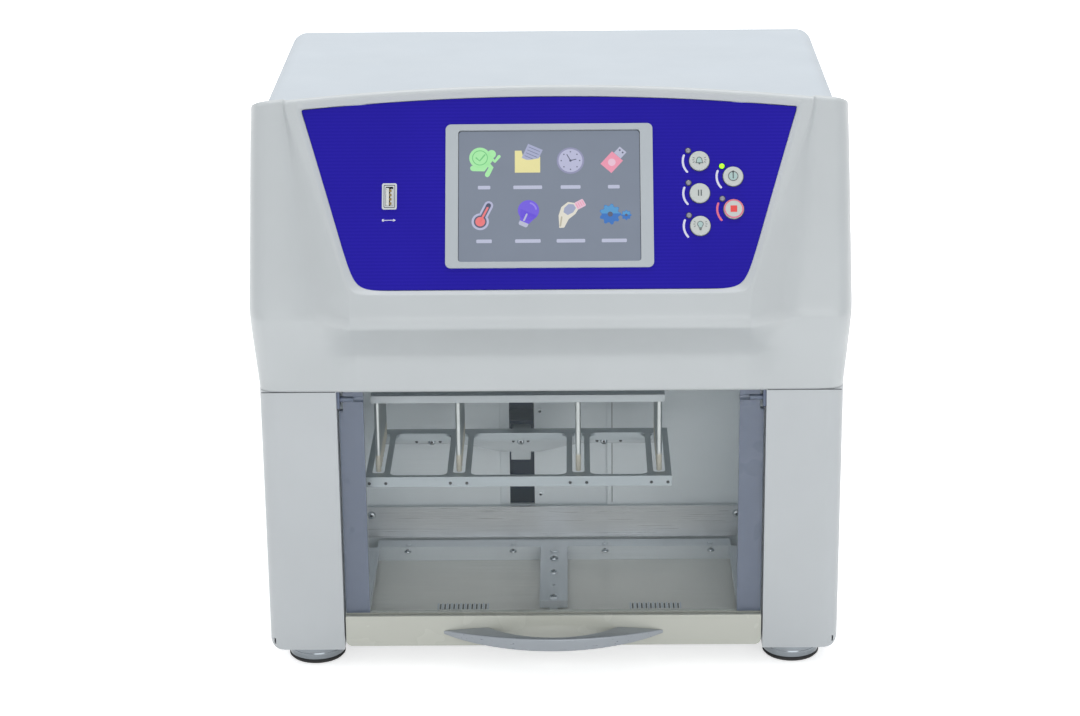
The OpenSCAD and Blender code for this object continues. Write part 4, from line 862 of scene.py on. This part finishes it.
icon("run", 0, 0, [
    ("green", [disc(-2.4, 2, 6.2), disc(4.3, 4.2, 2.5),
               stroke([(-6.4, -4.2), (-0.6, -4.6), (3.6, 1.4)], 3.4),
               stroke([(1.6, -1.4), (4.0, -3.8), (1.8, -8.2)], 2.8),
               stroke([(3.6, 2.4), (6.2, -0.2), (8.6, 2.8)], 1.9)]),
    ("green_dark", [stroke(disc(-2.4, 2, 4.3), 0.55, True),
                    stroke([(-4.6, 2), (-2.6, 0.2), (0.4, 3.8)], 0.9)]),
])
icon("program", 1, 0, [
    ("yellow", [[(-7.4, -7), (7.2, -7), (7.2, 2.4), (-2.6, 2.4), (-3.6, 6.2), (-7.4, 6.2)]]),
    ("paper", [moved([(-4.6, -4.6), (4.6, -4.6), (4.6, 4.6), (-4.6, 4.6)], 2.6, 4.2, -24)]),
    ("paper_line", [stroke(moved([(-3.4, 3.0 - 1.9 * k), (3.4, 3.0 - 1.9 * k)], 2.6, 4.2, -24), 0.35)
                    for k in range(4)]),
    ("yellow", [[(-7.4, -7), (7.2, -7), (7.2, 1.6), (1.2, 0.6), (-7.4, 0.6)]]),
])
icon("clock", 2, 0, [
    ("pale_dark", [disc(0, 0, 7.9)]),
    ("pale", [disc(0, 0, 6.9)]),
    ("ink", [stroke([(0, 0), (-2, 3.6)], 0.5), stroke([(0, 0), (3.2, 0.8)], 0.5), disc(0, 0, 0.7)]
     + [disc(*spoke(0, 0, 5.3, a), 0.4, 10) for a in range(0, 360, 45)]),
])
icon("stick", 3, 0, [
    ("silver", [moved([(-2.6, 0), (2.6, 0), (2.6, 5), (-2.6, 5)], 2.2, 2.8, -42)]),
    ("pink", [moved([(-4.2, -6), (4.2, -6), (4.2, 4), (-4.2, 4)], -0.4, -0.4, -42)]),
    ("pink_light", [disc(-1, -1.2, 2.2)]),
    ("ink", [moved(rect(-1.1, 3.4, 0.9, 0.9), 2.2, 2.8, -42),
             moved(rect(1.1, 3.4, 0.9, 0.9), 2.2, 2.8, -42)]),
])
bulb_at, stem_to = (-2.2, -4), (2.6, 5.6)
icon("warmth", 0, 1, [
    ("pale", [disc(*bulb_at, 5.0), stroke([bulb_at, stem_to], 5.2), disc(*stem_to, 2.6)]),
    ("ink", [disc(*bulb_at, 3.7), stroke([bulb_at, stem_to], 2.8), disc(*stem_to, 1.4)]),
    ("red", [disc(*bulb_at, 2.8), stroke([bulb_at, (2, 4.2)], 1.2)]),
])
icon("lamp", 1, 1, [
    ("silver", [moved(rect(0, -7.4, 5.4, 3.4, 0, 1), 0.6, 1.6, -24)]),
    ("violet", [disc(0.4, 2.6, 6.1),
                moved([(-5.2, 0), (-2.8, -6.4), (2.8, -6.4), (5.2, 0)], 0.6, 1.4, -24)]),
    ("violet_light", [stroke(arc(0.4, 2.6, 4.4, 10, 75), 1.0)]),
    ("pale", [stroke([(-2.2, -3.4), (-0.6, 0.2)], 1.0)]),
])
icon("scanner", 2, 1, [
    ("ivory", [[(-6.6, -8), (-3.8, -7.8), (-1.2, -2.8), (2.6, 0.2), (4.4, 3.2), (2.4, 6.8),
                (-1.6, 7.4), (-5.4, 4.4), (-7, -0.6)]]),
    ("steel", [[(-4.2, 1.4), (-1.8, -0.4), (1.4, 1.2), (3, 3.8), (1.6, 6), (-1.2, 6.2), (-3.6, 4)]]),
    ("pink_light", [moved(rect(0, 0, 4.6, 5.6, 0, 0.8), 5.4, 6, -62)]),
    ("pink", [stroke(moved([(-1.4, -2 + 1.3 * k), (1.4, -2 + 1.3 * k)], 5.4, 6, -62), 0.45)
              for k in range(4)]),
    ("shade", [stroke([(-6, -6.8), (-5.2, -1.6)], 0.9)]),
])
icon("gears", 3, 1, [
    ("blue", [gear(-2.2, 0, 5.6, 9), gear(7, -0.6, 2.7, 8)]),
    ("cyan", [[(u, max(v, 0.4)) for u, v in gear(-2.2, 0, 5.3, 9)],
              [(u, max(v, -0.4)) for u, v in gear(7, -0.6, 2.4, 8)]]),
    ("ink", [disc(-2.2, 0, 1.5), disc(7, -0.6, 0.8)]),
])

# Plain bars in place of the words under the icons
for r, caption_s in enumerate(CAPTION_S):
    for c, caption_x in enumerate(COL_X):
        figure(f"caption_bar_{r}{c}", [rect(caption_x, caption_s, CAPTION_W[r][c], 2.3, 0, 0.6)],
               "icon_caption", on_display, IMAGE_T, ICON_TOP, slot="display_face")

# ---- Buttons, their symbols and lights ----
PRINT = (-0.02, 0.06)      # printed marks, from just inside the sheet to just above it


def side_rays(y):
    """Three short lines on either side of (0, y)."""
    return [stroke([spoke(0, y, 3.3, a + o), spoke(0, y, 4.3, a + o)], 0.32)
            for a in (0, 180) for o in (-22, 0, 22)]


def symbol(name, layers):
    for k, (look, figures) in enumerate(layers):
        figure(f"symbol_{name}_{k}", figures, look,
               lambda u, v, h: on_panel(BUTTONS[name][0] + u, BUTTONS[name][1] + v, BUTTON_OUT + h),
               0.04 * k, 0.06 + 0.05 * k, f"{name}_button", "button_silver")


bell = [(-2.4, -1.5), (-1.9, -0.9), (-1.6, 0.9), (-0.9, 2.0), (0, 2.3), (0.9, 2.0), (1.6, 0.9),
        (1.9, -0.9), (2.4, -1.5)]
symbol("bell", [("mark_teal", [bell]),
                ("mark", [stroke(bell, 0.42, True), disc(0, -2.0, 0.55, 14)] + side_rays(0.4))])
symbol("pause", [("mark", [rect(-0.85, 0, 0.75, 4.0), rect(0.85, 0, 0.75, 4.0)])])
lamp_shape = arc(0, 0.9, 1.8, -50, 230, 18) + [(-0.9, -1.4), (0.9, -1.4)]
symbol("lamp", [("mark_teal", [lamp_shape]),
                ("mark", [stroke(lamp_shape, 0.4, True), rect(0, -2.1, 1.7, 0.5),
                          rect(0, -2.8, 1.3, 0.5)] + side_rays(0.9))])
symbol("start", [("mark_teal", [disc(0, 0, 2.6)]),
                 ("mark", [stroke(arc(0, 0, 3.0, 0, 348, 30), 0.45, True),
                           stroke([(0, -1.3), (0, 2.6)], 0.7), disc(0, 2.9, 0.7, 14)])])
symbol("stop", [("mark_red", [rect(0, 0, 4.2, 4.2)]),
                ("mark_pink", [stroke(disc(0, 0, 5.75, 48), 0.8, True)])])

for name, (bx, bs) in BUTTONS.items():
    sweep = stroke(arc(bx, bs, 10.4, 158, 222, 16), 1.35)
    figure(f"arc_{name}", [sweep], "mark_pink" if name == "stop" else "mark_white", on_panel, *PRINT,
           slot="panel_blue")
    lx, ls = bx - LED_SHIFT, bs + LED_SHIFT
    dome = [(LED_R, -0.1), (1.6, 0.42), (1.4, 0.8), (1.0, 1.05), (0.5, 1.18), (0.02, 1.2)]
    verts, faces = lathe(dome, lambda u, v, w: on_panel(lx + u, ls + v, w), 24)
    piece(f"light_{name}", verts, faces, "led_on" if name == "start" else "led_off", slot="led_lens")
    figure(f"light_rim_{name}", [ring(disc(lx, ls, LED_R + 0.04), disc(lx, ls, 2.0))], "dark",
           on_panel, -0.02, 0.2, slot="panel_blue")
    gap = ring(disc(bx, bs, BUTTON_R + 0.05, 48), disc(bx, bs, BUTTON_R + 0.45, 48))
    figure(f"button_gap_{name}", [gap], "dark", on_panel, -0.3, 0.03, slot="panel_blue")

# ---- Memory-stick port ----
SYMBOL_S = -15.4


def port_piece(name, figures, look, low, high):
    figure("port_" + name, figures, look, on_panel, low, high, slot="port_metal")


port_piece("pocket", [rect(PORT_X, 0, 6.6, 14.4, 0, 0.5)], "socket", -5.6, -5.2)
port_piece("lining", [ring(rect(PORT_X, 0, 6.4, 14.2, 0, 0.5), rect(PORT_X, 0, 7.2, 15.0, 0, 0.7))],
           "socket", 0.9, 1.08)
port_piece("shell", [ring(rect(PORT_X, 0, 4.9, 12.6, 0, 0.5), rect(PORT_X, 0, 6.2, 13.9, 0, 0.7))],
           "port", -4.8, 0.5)
port_piece("tongue", [rect(PORT_X - 1.3, 0, 1.9, 11.6, 0, 0.3)], "white_plastic", -4.6, 0.2)
port_piece("contacts", [rect(PORT_X + 0.5, -4.2 + 2.8 * k, 1.5, 1.7, 0, 0.2) for k in range(4)],
           "contact", -4.4, -0.6)
figure("port_symbol", [stroke([(PORT_X - 3.6, SYMBOL_S), (PORT_X + 2.6, SYMBOL_S)], 0.45),
                       disc(PORT_X - 3.9, SYMBOL_S, 0.8, 16),
                       [(PORT_X + 2.4, SYMBOL_S + 0.9), (PORT_X + 4.2, SYMBOL_S),
                        (PORT_X + 2.4, SYMBOL_S - 0.9)]],
       "mark_white", on_panel, *PRINT, slot="panel_blue")

# ---- Screws ----


def screw(name, place, r, high, body, slot):
    """A domed head with a dark hexagon on top that paints the shade of its socket; place maps (u, v,
    w) to a point.
    """
    dome = [(r, 0), (r * 0.97, high * 0.35), (r * 0.84, high * 0.72), (r * 0.62, high * 0.93),
            (r * 0.5, high)]
    piece(name, *lathe(dome, place, 24), "screw", body, slot)
    # Painted shade: a dark hexagon in place of the socket's hollow
    hexagon = [spoke(0, 0, r * 0.4, 60 * k) for k in range(6)]
    figure(name + "_socket", [hexagon], "socket", place, high * 0.9, high * 1.04, body, slot)


def facing(axis, x, y, z):
    """Maps (u, v, w) with w along the given direction from a point."""
    return {
        "-Y": lambda u, v, w: at(x + u, y - w, z + v),
        "+Y": lambda u, v, w: at(x - u, y + w, z + v),
        "+Z": lambda u, v, w: at(x + u, y + v, z + w),
        "+X": lambda u, v, w: at(x + w, y + u, z + v),
        "-X": lambda u, v, w: at(x - w, y - u, z + v),
    }[axis]


BRACKET_Z, SLOT_SCREW_X, SLOT_SCREW_Y = SLEEVE_Z - 8.2, -9.5, 150.8
INLET_X, INLET_Z, FAN_X, FAN_Z, FAN_PITCH = 140, 62, 95, 240, 35.5

# Name, direction, place, radius, height, body, slot
screws = [(f"band_{word}", "-Y", side * 130.3, BAND_FRONT, SLOT_BOTTOM - 5, 3.0, 1.8, "chassis",
           "brushed_band") for word, side in SIDES]
screws += [(f"slot_{word}", "-Y", SLOT_SCREW_X, SLOT_SCREW_Y, z, 2.15, 1.25, "carriage",
            "shutter_navy") for word, z in (("low", 63), ("high", 126))]
screws += [(f"tray_{k}", "+Z", x, 119.5, RAIL_Z, 2.6, 1.6, "chassis", "tray_aluminium")
           for k, x in enumerate((-103.5, -29, 36, 110.8))]
screws += [(f"rail_{k}", "+Z", 0, y, RAIL_Z, 3.0, 1.8, "chassis", "tray_aluminium")
           for k, y in enumerate((39.8, 81.8, 106.5))]
screws += [(f"bracket_{k}", "-Y", x, SLEEVE_BACK, BRACKET_Z, 2.6, 1.8, "sleeve_rack",
            "machined_aluminium") for k, x in enumerate((-84.38, -22.5, 35.38))]
for word, side in SIDES:
    screws += [(f"guide_{word}", "+Z", side * 135.5, 36, RAIL_Z - 2, 2.4, 1.6, "chassis",
                "tray_aluminium")]
    screws += [(f"cover_{word}_{k}", "+X" if side > 0 else "-X", side * BODY_W / 2, y, BODY_H - 19,
                3.2, 1.8, "chassis", "cover_paint") for k, y in enumerate((100, 190, 280))]
    screws += [(f"rear_{word}_{k}", "+Y", side * 182, BODY_D, z, 3.0, 1.7, "chassis",
                "cabinet_paint") for k, z in enumerate((28, 120, 230, 330))]
    screws += [(f"inlet_{word}", "+Y", INLET_X + side * 16.5, BODY_D + 2.5, INLET_Z, 1.6, 0.5,
                "chassis", "black_plastic")]
    screws += [(f"fan_{word}_{k}", "+Y", FAN_X + side * FAN_PITCH, BODY_D + 3, FAN_Z + up * FAN_PITCH,
                2.4, 0.9, "chassis", "bright_wire") for k, up in enumerate((-1, 1))]
for name, axis, x, y, z, r, high, body, slot in screws:
    screw("screw_" + name, facing(axis, x, y, z), r, high, body, slot)

# ---- Chamber details ----
SEAM_X, COMB_Y, COMB_PITCH = 41.5, 48, 3.1
figure("back_seam", [rect(SEAM_X, 127, 0.5, 140)], "gap", lambda u, v, w: at(u, CHAMBER_D - w, v),
       0, 0.06, slot="chamber_steel")


def on_floor(u, v, w):
    return at(u, v, FLOOR_Z + w)


# Raised ribs of the heater combs, with the shade between them
for word, x0 in (("left", -79), ("right", 52.5)):
    figure(f"comb_{word}", [rect(x0 + COMB_PITCH * k, COMB_Y, 1.1, 9.5, 0, 0.4) for k in range(12)],
           "tray", on_floor, 0, 0.5, slot="tray_aluminium")
    figure(f"comb_shade_{word}", [rect(x0 + 1.55 + COMB_PITCH * k, COMB_Y, 0.9, 8.6)
                                  for k in range(11)],
           "gap", on_floor, 0, 0.08, slot="tray_aluminium")

# Painted shade: dark discs in the holes of the sleeve frame's lip and of its bracket, and a dark
# strip for the gap under the band with painted shadow
figure("lip_hole_shade", [disc(x + o, 0, 1.1, 16) for x in ROW_X for o in (-5.5, 5.5)], "socket",
       lambda u, v, w: at(u, SLEEVE_FRONT - w, SLEEVE_Z - 4.5 + v), -0.4, 0.03, "sleeve_rack",
       "rack_steel")
figure("bracket_hole_shade", [disc(x, 0, 1.1, 16) for x in (-95, -78.6, -27.6, -17.4, 30.6, 47)],
       "socket", lambda u, v, w: at(u, SLEEVE_BACK - w, BRACKET_Z + v), -0.4, 0.03, "sleeve_rack",
       "machined_aluminium")
# A dark strip for the gap under the band, painted as the shadow in it
figure("band_gap_shadow", [rect(0, 33.6, 2 * CHAMBER_HALF - 14, 2.0)], "socket",
       lambda u, v, w: at(u, CHAMBER_D - 5 - w, v), -0.6, 0.06, slot="brushed_band")

# Dark joints between the head and the columns
for word, side in SIDES:
    figure(f"joint_{word}", [rect(side * 164, SEAM_Z, 48, 0.55)], "gap",
           lambda u, v, w: at(u, -w, v), 0.0, 0.1, slot="moulded_grey")

# ---- Camera, light and floor ----
IMAGE_W, FOCAL_PX, SENSOR = 1080, 2745, 36    # the photograph's width and the solved focal length
cam_data = bpy.data.cameras.new("camera")
cam_data.sensor_width = SENSOR
cam_data.lens = FOCAL_PX / IMAGE_W * SENSOR
cam_data.clip_end = 20
camera = new_object("camera", cam_data)
CAMERA_AT, PITCH, YAW, ROLL = (14.9, -1672, 795), 19.05, 0.749, -0.613
pitch, yaw, roll = (math.radians(v) for v in (PITCH, YAW, ROLL))
look = Vector((-math.sin(yaw) * math.cos(pitch), math.cos(yaw) * math.cos(pitch), -math.sin(pitch)))
level = Vector((math.cos(yaw), math.sin(yaw), 0))
upward = level.cross(look)
right = level * math.cos(roll) + upward * math.sin(roll)
upward = upward * math.cos(roll) - level * math.sin(roll)
turned = Matrix((right, upward, -look)).transposed()
camera.matrix_world = Matrix.Translation(at(*CAMERA_AT)) @ turned.to_4x4()
bpy.context.scene.camera = camera

SKY, FLOOR_GLOW = 0.52, 0.6


def seen_strength(tree, hidden, seen):
    """A strength that is seen for camera, glossy and transmission rays, and hidden for the rest."""
    path = tree.nodes.new("ShaderNodeLightPath")
    total = path.outputs["Is Camera Ray"]
    for ray in ("Is Glossy Ray", "Is Transmission Ray"):
        both = tree.nodes.new("ShaderNodeMath")
        both.operation = "MAXIMUM"
        tree.links.new(total, both.inputs[0])
        tree.links.new(path.outputs[ray], both.inputs[1])
        total = both.outputs[0]
    node = tree.nodes.new("ShaderNodeMapRange")
    tree.links.new(total, node.inputs["Value"])
    node.inputs["To Min"].default_value, node.inputs["To Max"].default_value = hidden, seen
    return node.outputs["Result"]


world = bpy.data.worlds.new("studio")
world.use_nodes = True
sky = world.node_tree.nodes["Background"]
sky.inputs["Color"].default_value = (0.97, 0.985, 1.0, 1)
world.node_tree.links.new(seen_strength(world.node_tree, SKY, 1.0), sky.inputs["Strength"])
bpy.context.scene.world = world
bpy.context.scene.view_settings.view_transform = "Standard"


def area_light(name, place, size, watts):
    """A rectangular light, in metres, that points at the middle of the object."""
    data = bpy.data.lights.new(name, "AREA")
    data.shape, data.size, data.size_y = "RECTANGLE", size[0], size[1]
    data.energy = watts
    obj = new_object(name, data)
    obj.location = place
    obj.rotation_euler = (Vector((0, 0, 0.2)) - Vector(place)).to_track_quat("-Z", "Y").to_euler()


area_light("front", (0.5, -3.2, 1.0), (2.4, 1.8), 27)
area_light("left", (-2.6, 0.3, 2.0), (1.6, 1.6), 8)
area_light("top", (0.2, 0.9, 3.0), (2.4, 2.4), 48)

GROUND_HALF, GROUND_Z = 6, -0.0002      # metres; just under the feet
floor_mesh = bpy.data.meshes.new("floor")
floor_mesh.from_pydata([(x * GROUND_HALF, y * GROUND_HALF, GROUND_Z)
                        for x, y in ((-1, -1), (1, -1), (1, 1), (-1, 1))], [], [(0, 1, 2, 3)])
floor = new_object("floor", floor_mesh)
floor_look = Shader("floor_pale", (252, 252, 252), 0.8, Emission_Color=(1, 1, 1, 1))
floor_look.tint(floor_look.noise(400), (250, 250, 250))
floor_look.link(seen_strength(floor_look.tree, 0, FLOOR_GLOW),
                floor_look.bsdf.inputs["Emission Strength"])
floor_mesh.materials.append(floor_look.mat)
